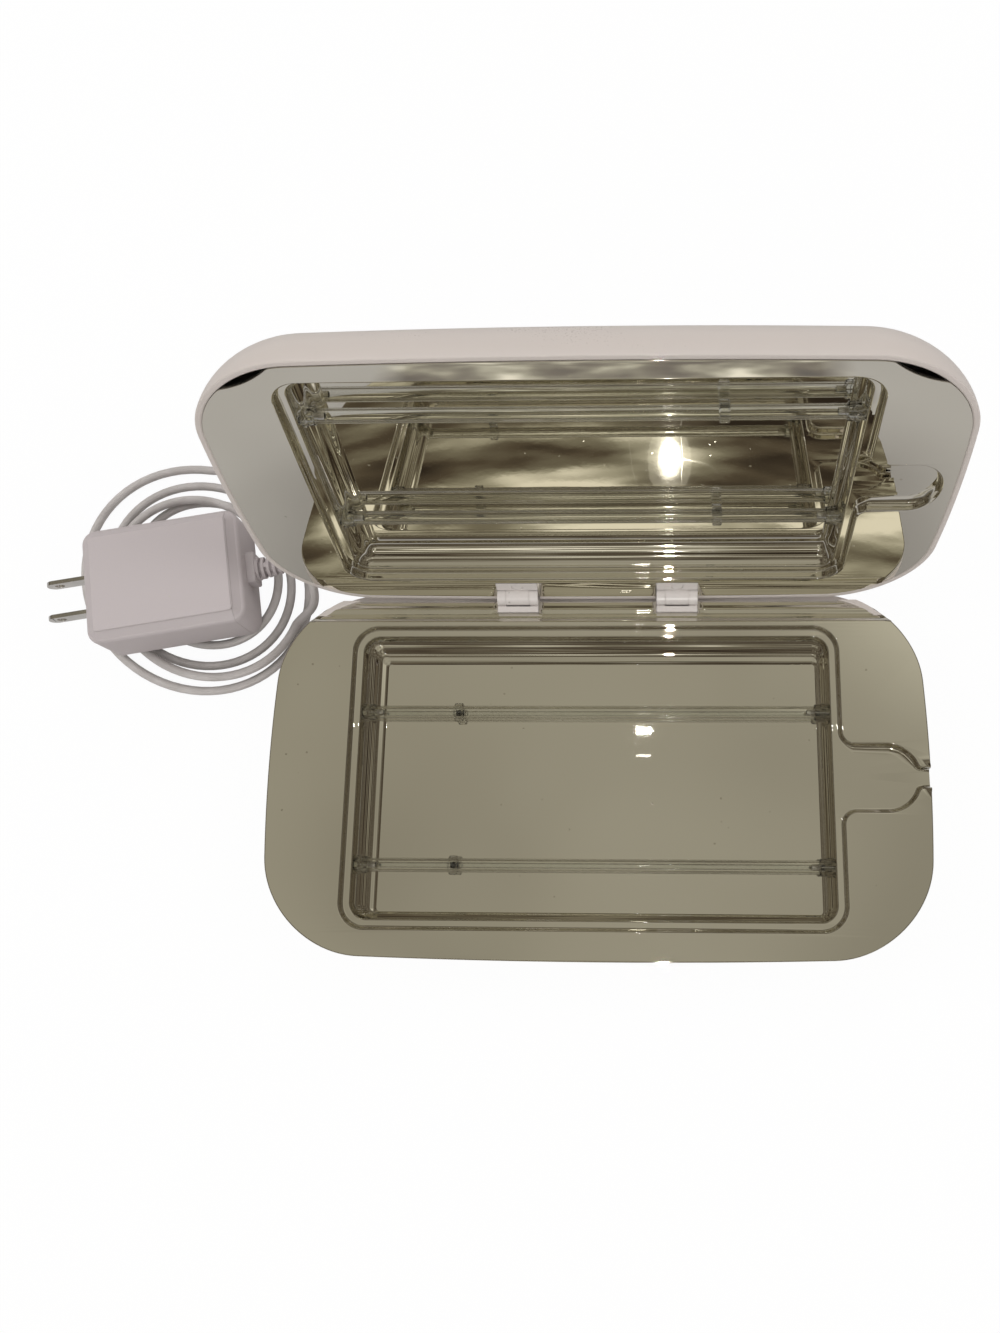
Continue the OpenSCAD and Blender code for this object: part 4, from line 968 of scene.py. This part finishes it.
def makeLidShell(v):
    axis, below, leaf = body["axisY"], -body["halfHeight"], v["lidLeaf"]
    steps = []
    for x in body["knuckleXs"]:
        wide = around(x, v["lidKnuckleHalf"])
        steps += [
            ("DIFFERENCE", rodMesh((axis, body["axisAboveSeam"]), v["barrelRoom"], *wide, alongX=True)),
            ("DIFFERENCE", blockMesh(wide, (axis - leaf, axis), (-3, 2))),
            ("DIFFERENCE", blockMesh(around(x, v["lidLeafHalf"]), (axis - leaf - 0.2, axis - 1), (-6.6, 2))),
        ]
    steps.append(("DIFFERENCE", rodMesh((0, v["lensY"]), v["lensHole"], below - 3, below + 4)))
    data = carve(shellSolid("lidShell", 0.0, v["lidRimRound"]), "lidShell", steps)
    makePiece("lidShell", placed(data, toLid), "lid", "whiteShell", ("lid_shell",), 28, True)


makeBaseShell(shell)
makeLidShell(shell)
print("shells ready")


lampSizes = {
    "radius": 2.3, "wall": 0.7, "depth": 6.0, "front": -32.35, "rear": 19.95, "ends": (-85.8, 83.35),
    "tail": 1.5, "outerShoulder": (0.6, 0.6, 6), "cavityInset": 2, "innerShoulder": (1.4, 1.2, 8),
    "cupFrom": 7.4, "cup": [(0, 0), (0, 0.9), (0.3, 1.15), (3.2, 1.15), (3.2, 0.95), (0.8, 0.95), (0.6, 0)],
    "wire": [(-7.6, 0), (-7.6, 0.22), (0.1, 0.22), (0.1, 0)], "grommetLength": 8.0, "grommetRadius": 2.9,
    "grommetBore": 0.06, "saddleWidth": 3.0, "saddleWall": 0.9, "saddleBore": 0.07, "stemHalf": 1.9,
    "stemFrom": 0.55, "edgeRound": 0.3,
}


def revolve(profile, sides=40, flip=False):
    # A profile of x and radius, turned about the X axis
    profile = asMade(profile)
    angle = np.linspace(0, 2 * math.pi, sides, endpoint=False)
    x = np.broadcast_to(profile[:, :1], (len(profile), sides))
    grid = np.stack([x, profile[:, 1:] * np.cos(angle), profile[:, 1:] * np.sin(angle)], 2)
    faces = gridFaces(len(profile), sides, closeColumns=True)
    return grid.reshape(-1, 3), [f[::-1] for f in faces] if flip else faces


def lampPlace(y, place=asMade):
    # Lamp frame to half frame, and on by the given place: its axis runs along X at the lamps' depth
    return lambda p: place(asMade(p) + [0, y, -lampSizes["depth"]])


def tubeProfile(x0, x1, radius, shoulder):
    # A straight run between two quarter-ellipse shoulders, with both ends on the axis
    run, rise, steps = shoulder
    first = quarterTurn(x0, radius - rise, run, rise, True, steps)
    last = quarterTurn(x1 - run, radius, run, -rise, False, steps)
    along = np.linspace(0, 1, 30)[1:-1, None]
    return np.vstack([[(x0, 0)], first, first[-1] + (last[0] - first[-1]) * along, last, [(x1, 0)]])


def glassTube(v):
    # An outer skin with a rounded shoulder at each end, and the cavity's skin in it turned the other way
    x0, x1, inset = v["ends"][0] - v["tail"], v["ends"][1] + v["tail"], v["cavityInset"]
    return (revolve(tubeProfile(x0, x1, v["radius"], v["outerShoulder"]), 48),
            revolve(tubeProfile(x0 + inset, x1 - inset, v["radius"] - v["wall"], v["innerShoulder"]), 48,
                    flip=True))


def cupAndWire(v, x, way):
    # A nickel cup, hollow towards the lamp's middle, on a lead wire that runs back to the cap
    return [revolve(np.array(v[part]) * [way, 1] + [x, 0], sides)
            for part, sides in (("cup", 24), ("wire", 10))]


def grommetPart(v, x, way):
    # A clear sleeve with a lip on the tray's side, a groove for the reflector's wall, and rounded ends
    r, q, n = v["grommetRadius"], v["radius"] + v["grommetBore"], v["grommetLength"]
    profile = np.array([
        (0.2, q), (0, q + 0.15), (0, r - 0.3), (0.3, r), (3.0, r), (3.2, r - 0.2), (4.1, r - 0.2),
        (4.3, r + 0.25), (4.6, r + 0.42), (5.3, r + 0.42), (5.6, r + 0.25), (5.75, r), (n - 0.35, r),
        (n, r - 0.35), (n, q + 0.15), (n - 0.2, q), (0.2, q)])
    return revolve(profile * [way, 1] + [x, 0], 40)


def saddlePart(v, x, sides=72):
    # A clear ring on a flared stem: the outer outline and the bore share their angles and join at four rims
    angle = np.linspace(0, 2 * math.pi, sides, endpoint=False)
    drop, w, soft = tray["depth"] - v["depth"], v["saddleWidth"], v["edgeRound"]
    outer, bore = v["radius"] + v["saddleWall"], v["radius"] + v["saddleBore"]
    y, z = outer * np.cos(angle), outer * np.sin(angle)
    low = np.clip((-np.sin(angle) - v["stemFrom"]) / (1 - v["stemFrom"]), 0, 1)
    outerY = y * (1 - low) + np.clip(y, -v["stemHalf"], v["stemHalf"]) * low
    outerZ = z * (1 - low) - drop * low
    rows = []
    for level, grow in ((0.0, -soft), (soft, 0.0), (w - soft, 0.0), (w, -soft)):
        shrink = 1 + grow / outer
        rows.append((np.full(sides, x + level), outerY * shrink,
                     np.where(low > 0.99, outerZ, outerZ * shrink)))
    rows += [(np.full(sides, x + level), bore * np.cos(angle), bore * np.sin(angle)) for level in (w, 0.0)]
    return np.stack(rows).transpose(0, 2, 1).reshape(-1, 3), gridFaces(len(rows), sides, True, True)


def makeLamps(v, half, place, saddleX):
    x0, x1 = v["ends"]
    grommets, saddles = [], []
    for label, y in (("Front", v["front"]), ("Rear", v["rear"])):
        inHalf, onTable = lampPlace(y), lampPlace(y, place)
        makePiece(half + "Lamp" + label, partsMesh("tube", glassTube(v), onTable, outward=False), half,
                  "lampGlass",
                  (half + "_lamp_" + label.lower(),), 50)
        cups = cupAndWire(v, x0 + v["cupFrom"], 1) + cupAndWire(v, x1 - v["cupFrom"], -1)
        makePiece(half + "Electrodes" + label, partsMesh("cups", cups, onTable), half, "steel", sharpAngle=40)
        for points, faces in (grommetPart(v, x0, 1), grommetPart(v, x1, -1)):
            grommets.append((inHalf(points), faces))
        points, faces = saddlePart(v, saddleX)
        saddles.append((inHalf(points), faces))
    for label, parts in (("Grommets", grommets), ("Saddles", saddles)):
        makePiece(half + label, partsMesh(label.lower(), parts, place), half, "clearPlastic",
                  (half + "_" + label.lower(),), 40)


makeLamps(lampSizes, "base", toBase, -50.0)
makeLamps(lampSizes, "lid", toLid, 39.0)
print("lamps ready")


def adapterSolid(v):
    # Rounded rectangles stacked by inset and height: a rounded foot, straight sides, a soft shoulder, a
    # sloping border and a flat panel with crisp edges
    halfL, halfW, halfH = v["length"] / 2, v["width"] / 2, v["height"] / 2
    foot, (down, run, rise) = v["footRound"], v["shoulder"]
    stack = np.vstack([
        quarterTurn(foot, -halfH, -foot, foot, False, 8), [(0, z) for z in v["straight"]],
        quarterTurn(0, halfH - down, run, rise, True, 8),
        [(v["panelInset"] + inset, halfH - below) for inset, below in v["panelEdge"]]])
    rings = [lifted(roundedRing(-halfL + inset, halfL - inset, -halfW + inset, halfW - inset,
                                max(v["cornerRadius"] - inset, v["leastRadius"]), 12, 10), z)
             for inset, z in stack]
    return stackMesh("adapterSolid", rings)


def makeAdapter(v):
    # The whole solid is cut in two at the cap's joint, and the case gets a slot for each blade
    big, gap = around(0, v["beyond"]), v["capGap"]
    slots = joined([blockMesh([run - v["length"] / 2 for run in v["slotRun"]], around(y, v["slotHalf"][0]),
                              around(0, v["slotHalf"][1])) for y in v["bladeYs"]])
    case = [("INTERSECT", blockMesh((big[0], v["capStart"] - gap), big, big)), ("DIFFERENCE", slots)]
    cap = [("INTERSECT", blockMesh((v["capStart"] + gap, big[1]), big, big))]
    for name, node, steps in (("adapterCase", "adapter_case", case), ("adapterCap", "adapter_cap", cap)):
        data = placed(carve(adapterSolid(v), name, steps), toAdapter)
        obj = makePiece(name, data, "base", "adapterPlastic", (node,), 38)
        addBevel(obj, v["softEdge"], 2, 60)
        addEvenNormals(obj)


def collarPart(v):
    # A rounded bar from inside the case to the relief: its rings have an inset and a place along X
    length, halfY, halfZ = v["collar"][0], v["collar"][1] / 2, v["collar"][2] / 2
    rings = []
    for inset, level in ((0.0, -0.4), (0.0, length - 0.5), (0.15, length - 0.15), (0.5, length)):
        ring = roundedRing(-halfY + inset, halfY - inset, -halfZ + inset, halfZ - inset,
                           max(v["collarRadius"] - inset, 0.2), 8, 4)
        rings.append(lifted(ring, v["length"] / 2 + level)[:, [2, 0, 1]])
    return np.concatenate(rings), tubeFaces(len(rings), len(rings[0]))


def reliefParts(x, length, first, last, ribs, core, sparing=0.56, webHalf=0.85, webFrom=1.2):
    # Rounded ribs that get smaller, on a tapering core, joined in turn by two webs across and two upright
    pitch = length / ribs
    thick = sparing * pitch
    tip = x + length
    parts = [revolve([(x, 0), (x, core), (tip - 0.2, core - 0.35), (tip, core - 0.5), (tip, 0)], 28)]
    for k in range(ribs):
        r, start = first + (last - first) * k / ribs, x + k * pitch
        end = start + thick
        parts.append(revolve([
            (start, 0), (start, r - 0.2), (start + 0.06, r - 0.06), (start + 0.2, r),
            (end - 0.2, r), (end - 0.06, r - 0.06), (end, r - 0.2), (end, 0)], 36))
        if k == ribs - 1:
            break
        for reach in ((0.35 - r, -webFrom), (webFrom, r - 0.35)):
            points, faces = boxPart((end - 0.1, start + pitch + 0.1), reach, around(0, webHalf))
            parts.append((points[:, [0, 2, 1]] if k % 2 else points, faces))
    return parts


def makeAdapterRelief(v):
    start = v["length"] / 2 + v["collar"][0] - 0.1
    parts = [collarPart(v), *reliefParts(start, v["reliefLength"], *v["reliefRadii"], v["ribs"],
                                         v["reliefCore"])]
    makePiece("adapterRelief", partsMesh("relief", parts, toAdapter), "base", "adapterPlastic",
              ("adapter_relief",), 40)


plugSizes = {
    "x": -68.0, "start": 56.55, "z": -12.4, "barrel": 7.2, "barrelRadius": 2.75, "body": 17.0,
    "bodyRadius": 4.2, "gripFrom": 6.0, "gripTo": 12.5, "gripPitch": 1.3, "gripDepth": 0.28, "relief": 10.0,
    "reliefRadii": (3.5, 2.9), "ribs": 4, "reliefCore": 2.4, "tuck": 0.05,
}


def toPlug(points):
    # Plug frame, whose X runs backwards out of the socket, to the row frame
    p, v = asMade(points), plugSizes
    return toBase(np.stack([v["x"] - p[:, 1], v["start"] + p[:, 0], v["z"] + p[:, 2]], 1))


def makePlug(v):
    r, n, deep = v["bodyRadius"], v["body"], v["bodyRadius"] - v["gripDepth"]
    grips = [(start + run, radius) for start in np.arange(v["gripFrom"], v["gripTo"], v["gripPitch"])
             for run, radius in ((0, r), (0.2, deep), (0.5, deep), (0.7, r))]
    profile = [(0, 0), (0, 3.3), (0.12, 3.6), (0.45, 3.8), (3.6, r - 0.05), (4.4, r), *grips,
               (n - 2.4, r), (n - 1.0, r - 0.2), (n - 0.3, r - 0.5), (n, 3.4), (n, 0)]
    makePiece("plugBody", partsMesh("plug", [revolve(profile, 48)], toPlug), "base", "whiteTrim",
              ("power_plug",), 35)
    b, q = v["barrel"], v["barrelRadius"]
    barrel = [(-b, 1.1), (-b, q - 0.3), (-b + 0.3, q), (0.2, q), (0.2, 0.4), (-b + 1.5, 0.4), (-b + 1.5, 1.1),
              (-b, 1.1)]
    makePiece("plugBarrel", partsMesh("barrel", [revolve(barrel)], toPlug), "base", "steel", sharpAngle=35)
    parts = reliefParts(n - v["tuck"], v["relief"] + v["tuck"], *v["reliefRadii"], v["ribs"], v["reliefCore"])
    makePiece("plugRelief", partsMesh("relief", parts, toPlug), "base", "adapterPlastic", ("plug_relief",),
              40)


makeAdapter(adapterSizes)
makeAdapterRelief(adapterSizes)
makePlug(plugSizes)
print("adapter and plug ready")


footSizes = {"radius": 6.0, "xs": (-74.0, 74.0), "ys": (-33.5, 33.5), "sink": 0.8}


def makeFeet(v):
    # Turned pads with a rounded lower edge and a shallow ring in the sole
    r, low, high = v["radius"], -body["seamHeight"], -body["halfHeight"] + v["sink"]
    points, faces = revolve([
        (low + 0.35, 0), (low + 0.35, r - 2.6), (low + 0.1, r - 2.3), (low, r - 2.0), (low, r - 0.7),
        (low + 0.1, r - 0.3), (low + 0.3, r - 0.08), (low + 0.6, r), (high, r), (high, 0)], 48)
    parts = [(points[:, [1, 2, 0]] + [x, y, 0], faces) for x in v["xs"] for y in v["ys"]]
    makePiece("rubberFeet", partsMesh("feet", parts, toBase), "base", "blackRubber", ("rubber_feet",), 50)


makeFeet(footSizes)


# Pieces whose shapes come from the frame: name, node, body, finish and the width of their softened edges
softened = [
    ("baseKnuckles", "base_knuckles", "base", "whiteTrim", 0.14),
    ("lidKnuckles", "lid_knuckles", "lid", "whiteTrim", 0.14),
    ("portPanel", "port_panel", "base", "whiteTrim", 0.2),
    ("powerSocket", "power_socket", "base", "darkPlastic", 0.2),
    ("usbPort", "usb_port", "base", "steel", 0.12),
    ("adapterBlades", "adapter_blades", "base", "steel", 0.2),
]


def mergeFlat(work):
    bmesh.ops.dissolve_limit(work, angle_limit=math.radians(0.6), verts=work.verts, edges=work.edges)


def makeSoftened(name, node, bodyName, finish, width):
    # The frame's own shape, merged into flat faces, with a fine rounding along its edges
    data = editMesh(cadNodes[node].data, weldBy(1e-6), mergeFlat, into=bpy.data.meshes.new(name))
    obj = makePiece(name, data, bodyName, finish, (node,), 30)
    addBevel(obj, width, 3, 30)
    addEvenNormals(obj)


for row in softened:
    makeSoftened(*row)

hingeTrim = {
    "washerPlaces": (-4.24, 3.96), "washerWidth": 0.28, "washerRadii": (1.34, 3.1), "washerSoft": 0.04,
    "capRadius": 2.04, "capTop": -0.12, "capDepth": 1.1, "capY": 54.6,
    "capDome": [(0.18, 0.0), (0.05, 0.12), (0.01, 0.5), (0.0, 1.1)],
}


def makeHingeTrim(v):
    # Thin washers on the pins between the knuckles, and a domed cap over each knuckle's screw
    (inner, outer), w, soft = v["washerRadii"], v["washerWidth"], v["washerSoft"]
    washer = np.array([(0, inner), (0, outer - soft), (soft, outer), (w - soft, outer), (w, outer - soft),
                       (w, inner), (0, inner)])
    washers = []
    for x in body["knuckleXs"]:
        for start in v["washerPlaces"]:
            points, faces = revolve(washer + [x + start, 0], 48)
            washers.append((points + [0, body["axisY"], body["axisAboveSeam"]], faces))
    makePiece("hingeWashers", partsMesh("washers", washers, toBase), "base", "whiteTrim", sharpAngle=40)
    r, top, foot = v["capRadius"], v["capTop"], v["capTop"] - v["capDepth"]
    dome = [(top - below, r - inset) for below, inset in v["capDome"]]
    points, faces = revolve([(foot, 0), (foot, r), *dome, (top, 0)], 40)
    caps = [(points[:, [1, 2, 0]] + [x, v["capY"], 0], faces) for x in body["knuckleXs"]]
    makePiece("screwCaps", partsMesh("caps", caps, toLid), "lid", "whiteTrim", sharpAngle=40)


makeHingeTrim(hingeTrim)
print("feet and softened pieces ready")


stage = {
    "floorHalf": 3.0, "floorHeight": -0.00015, "floorColour": (0.80, 0.79, 0.79), "seenShare": 0.96,
    "mirroredShare": 0.86, "mirroredColours": ((0.30, 0.285, 0.27), (0.46, 0.445, 0.43)), "cloudScale": 9.0,
    "thingsAcross": (0.118, 0.100), "thingsBefore": (-0.09, -0.10), "thingsStretch": (26.0, 60.0, 1.0),
    # The box's corner and the reach, share and colour after it paint a shadow on the paper near the box, seen
    # in mirrors
    "boxCorner": (0.10, 0.052, 1.0), "paintedShadowReach": 0.09, "paintedShadowShare": 0.45,
    "paintedShadowColour": (0.06, 0.055, 0.05),
}
room = {
    "ceiling": (0.335, 0.312, 0.248), "ceilingDark": (0.262, 0.242, 0.190), "slowScale": 3.6,
    "ceilingFrom": (0.87, 0.945), "glow": (0.66, 0.625, 0.51), "glowAt": (0.37, 0.42, 0.83),
    "glowNear": (0.93, 0.99), "ground": (0.20, 0.19, 0.175), "groundTo": (0.02, 0.12),
    "even": (0.52, 0.51, 0.50), "stretch": (8.0, 3.0, 58.0),
    "things": [(0.28, (0.030, 0.022, 0.016)), (0.40, (0.095, 0.075, 0.052)), (0.50, (0.21, 0.19, 0.14)),
               (0.58, (0.42, 0.395, 0.31)), (0.68, (0.90, 0.85, 0.72))],
    "lean": [(0.0, 0.36), (0.48, 0.38), (0.545, 0.46), (0.575, 0.43), (0.598, 0.46), (0.612, 0.565),
             (0.68, 0.56), (0.74, 0.42), (0.87, 0.36)],
    "sideLean": 0.38, "aheadFrom": (-0.45, -0.65),
}
white = (1.0, 1.0, 1.0)


def mappedNoise(tree, where, stretch, roughness=0.5):
    spread = addNode(tree, "ShaderNodeMapping", {"Vector": where, "Scale": stretch}).outputs["Vector"]
    return noiseOf(tree, spread, 1.0, 2.0, roughness)["Fac"]


def makeFloor(v):
    # Paper that is white to the camera. Mirrors and glass see grey clouds, dark and pale things before the
    # box, and a painted shadow that darkens them towards the box.
    t = np.linspace(-v["floorHalf"], v["floorHalf"], 5)
    x, y = np.meshgrid(t, t, indexing="ij")
    grid = np.stack([x, y, np.full_like(x, v["floorHeight"])], 2)
    data = rawMesh("floor", grid.reshape(-1, 3), [f[::-1] for f in gridFaces(5, 5)])
    data.update()
    obj = bpy.data.objects.new("floor", data)
    scene.collection.objects.link(obj)
    made, tree, shader, where = startMaterial("floorPaper")
    fill(tree, shader, {"Base Color": (*v["floorColour"], 1), "Roughness": 0.9, "Specular IOR Level": 0.1})
    pale = mixColours(tree, noiseOf(tree, where, v["cloudScale"], 2.0)["Fac"], *v["mirroredColours"])
    spot = addNode(tree, "ShaderNodeSeparateXYZ", {"Vector": where}).outputs
    within = rangeOf(tree, mathOf(tree, "ABSOLUTE", spot["X"]), *v["thingsAcross"])
    before = rangeOf(tree, spot["Y"], *v["thingsBefore"])
    things = rampOf(tree, mappedNoise(tree, where, v["thingsStretch"]), room["things"])
    dim = mixColours(tree, mathOf(tree, "MULTIPLY", within, before), pale, things)
    # Painted shadow: what mirrors see of the paper turns darker near the box's outline, where the box's shade
    # would fall
    past = vectorOf(tree, "SUBTRACT", vectorOf(tree, "ABSOLUTE", where), v["boxCorner"])
    away = vectorOf(tree, "LENGTH", vectorOf(tree, "MAXIMUM", past, (0.0, 0.0, 0.0)), output="Value")
    shade = rangeOf(tree, away, 0.0, v["paintedShadowReach"], v["paintedShadowShare"], 0.0, "SMOOTHSTEP")
    rays = tree.nodes.new("ShaderNodeLightPath").outputs
    shown = mixColours(tree, rays["Is Camera Ray"], mixColours(tree, shade, dim, v["paintedShadowColour"]), white)
    light = addNode(tree, "ShaderNodeEmission", {"Color": shown, "Strength": 1.0}).outputs["Emission"]
    reflected = mathOf(tree, "ADD", rays["Is Glossy Ray"], rays["Is Transmission Ray"])
    mirrored = mathOf(tree, "MULTIPLY", reflected, v["mirroredShare"], clamped=True)
    share = mathOf(tree, "MULTIPLY_ADD", rays["Is Camera Ray"], v["seenShare"], mirrored, clamped=True)
    mixed = addNode(tree, "ShaderNodeMixShader", {"Fac": share, 1: shader.outputs["BSDF"], 2: light})
    tree.links.new(mixed.outputs["Shader"], tree.nodes["Material Output"].inputs["Surface"])
    data.materials.append(made)


def makeWorld(v):
    # Mirrors and glass see a slowly varying olive ceiling with a soft glow to the right, a darker room with
    # pale things in it all round, and grey ground at the horizon. Matt surfaces get even light, and the
    # camera sees white.
    world = bpy.data.worlds.new("room")
    world.use_nodes = True
    scene.world = world
    tree = world.node_tree
    where = tree.nodes.new("ShaderNodeTexCoord").outputs["Generated"]
    parts = addNode(tree, "ShaderNodeSeparateXYZ", {"Vector": where}).outputs
    aim = vectorOf(tree, "DOT_PRODUCT", where, tuple(Vector(v["glowAt"]).normalized()), output="Value")
    blots = rangeOf(tree, noiseOf(tree, where, v["slowScale"], 1.0)["Fac"], 0.36, 0.64, kind="SMOOTHSTEP")
    plain = mixColours(tree, blots, v["ceilingDark"], v["ceiling"])
    overhead = mixColours(tree, rangeOf(tree, aim, *v["glowNear"], kind="SMOOTHSTEP"), plain, v["glow"])
    greys = rampOf(tree, parts["Z"], [(z, (g, g, g)) for z, g in v["lean"]])
    leaning = addNode(tree, "ShaderNodeRGBToBW", {"Color": greys}).outputs["Val"]
    ahead = rangeOf(tree, parts["Y"], *v["aheadFrom"], kind="SMOOTHSTEP")
    chosen = addNode(tree, "ShaderNodeMix", {0: ahead, 2: v["sideLean"], 3: leaning}, data_type="FLOAT")
    shapes = mappedNoise(tree, where, v["stretch"], 0.45)
    leant = mathOf(tree, "ADD", shapes, mathOf(tree, "SUBTRACT", chosen.outputs[0], 0.5))
    high = rangeOf(tree, parts["Z"], *v["ceilingFrom"], kind="SMOOTHSTEP")
    above = mixColours(tree, high, rampOf(tree, leant, v["things"]), overhead)
    low = rangeOf(tree, parts["Z"], *v["groundTo"], kind="SMOOTHSTEP")
    rays = tree.nodes.new("ShaderNodeLightPath").outputs
    matt = mixColours(tree, rays["Is Diffuse Ray"], mixColours(tree, low, v["ground"], above), v["even"])
    seen = mixColours(tree, rays["Is Camera Ray"], matt, white)
    tree.links.new(seen, tree.nodes["Background"].inputs["Color"])


softColour, lampColour = (1.0, 0.98, 0.97), (1.0, 0.98, 0.93)
# Only matt surfaces see the soft lamps, and only mirrors and glass the others. The room's are ellipses.
lights = {
    "leftSoft": {"place": (-1.15, 0.15, 1.05), "size": (0.9, 0.9), "power": 8.0, "colour": softColour},
    "rightSoft": {"place": (1.15, 0.10, 1.05), "size": (0.9, 0.9), "power": 7.0, "colour": softColour},
    "rearSoft": {"place": (0.0, 1.25, 1.05), "size": (1.0, 1.0), "power": 6.0, "colour": softColour},
    "frontSoft": {"place": (0.0, -1.15, 0.95), "size": (1.0, 1.0), "power": 5.0, "colour": softColour},
    "ceilingLamp": {"place": (-0.003, 0.206, 1.665), "size": (0.023, 0.008), "power": 0.07,
                    "colour": lampColour},
    "ceilingLampTwo": {"place": (-0.003, 0.161, 1.665), "size": (0.025, 0.0030), "power": 0.0005,
                       "colour": lampColour},
    "roomLamp": {"place": (0.05, -1.81, 1.31), "size": (0.020, 0.048), "power": 10.0, "colour": lampColour},
    "roomGlow": {"place": (0.05, -1.83, 1.33), "size": (0.055, 0.10), "power": 0.006,
                 "colour": (1.0, 0.97, 0.90)},
    "roomHalo": {"place": (0.05, -1.85, 1.35), "size": (0.10, 0.17), "power": 0.006,
                 "colour": (1.0, 0.97, 0.88)},
}
lightsAim = (0, 0, 0.04)


def makeLight(name, v):
    data = bpy.data.lights.new(name, "AREA")
    data.shape = "ELLIPSE" if name.startswith("room") else "RECTANGLE"
    data.size, data.size_y = v["size"]
    data.energy, data.color = v["power"], v["colour"]
    obj = bpy.data.objects.new(name, data)
    scene.collection.objects.link(obj)
    obj.location = v["place"]
    obj.rotation_euler = (Vector(lightsAim) - Vector(v["place"])).to_track_quat("-Z", "Y").to_euler()
    obj.visible_diffuse = name.endswith("Soft")
    obj.visible_glossy = obj.visible_transmission = not obj.visible_diffuse


makeFloor(stage)
makeWorld(room)
for name, v in lights.items():
    makeLight(name, v)
print("stage ready")


# Finishes of the pieces that stay as they are
keptFinishes = {
    "steel": ["hinge_pins", "base_screws", "base_lamp_caps", "knuckle_screws", "lid_lamp_caps", "lid_magnet"],
    "milkyPlastic": ["indicator_lens"],
    "board": ["circuit_board", "lid_board"],
    "darkPlastic": ["transformer", "capacitors", "lid_sensor", "lid_transformer"],
}
for finish, names in keptFinishes.items():
    for name in names:
        data = cadNodes[name].data
        data.materials.clear()
        data.materials.append(materials[finish])

print("all pieces ready")
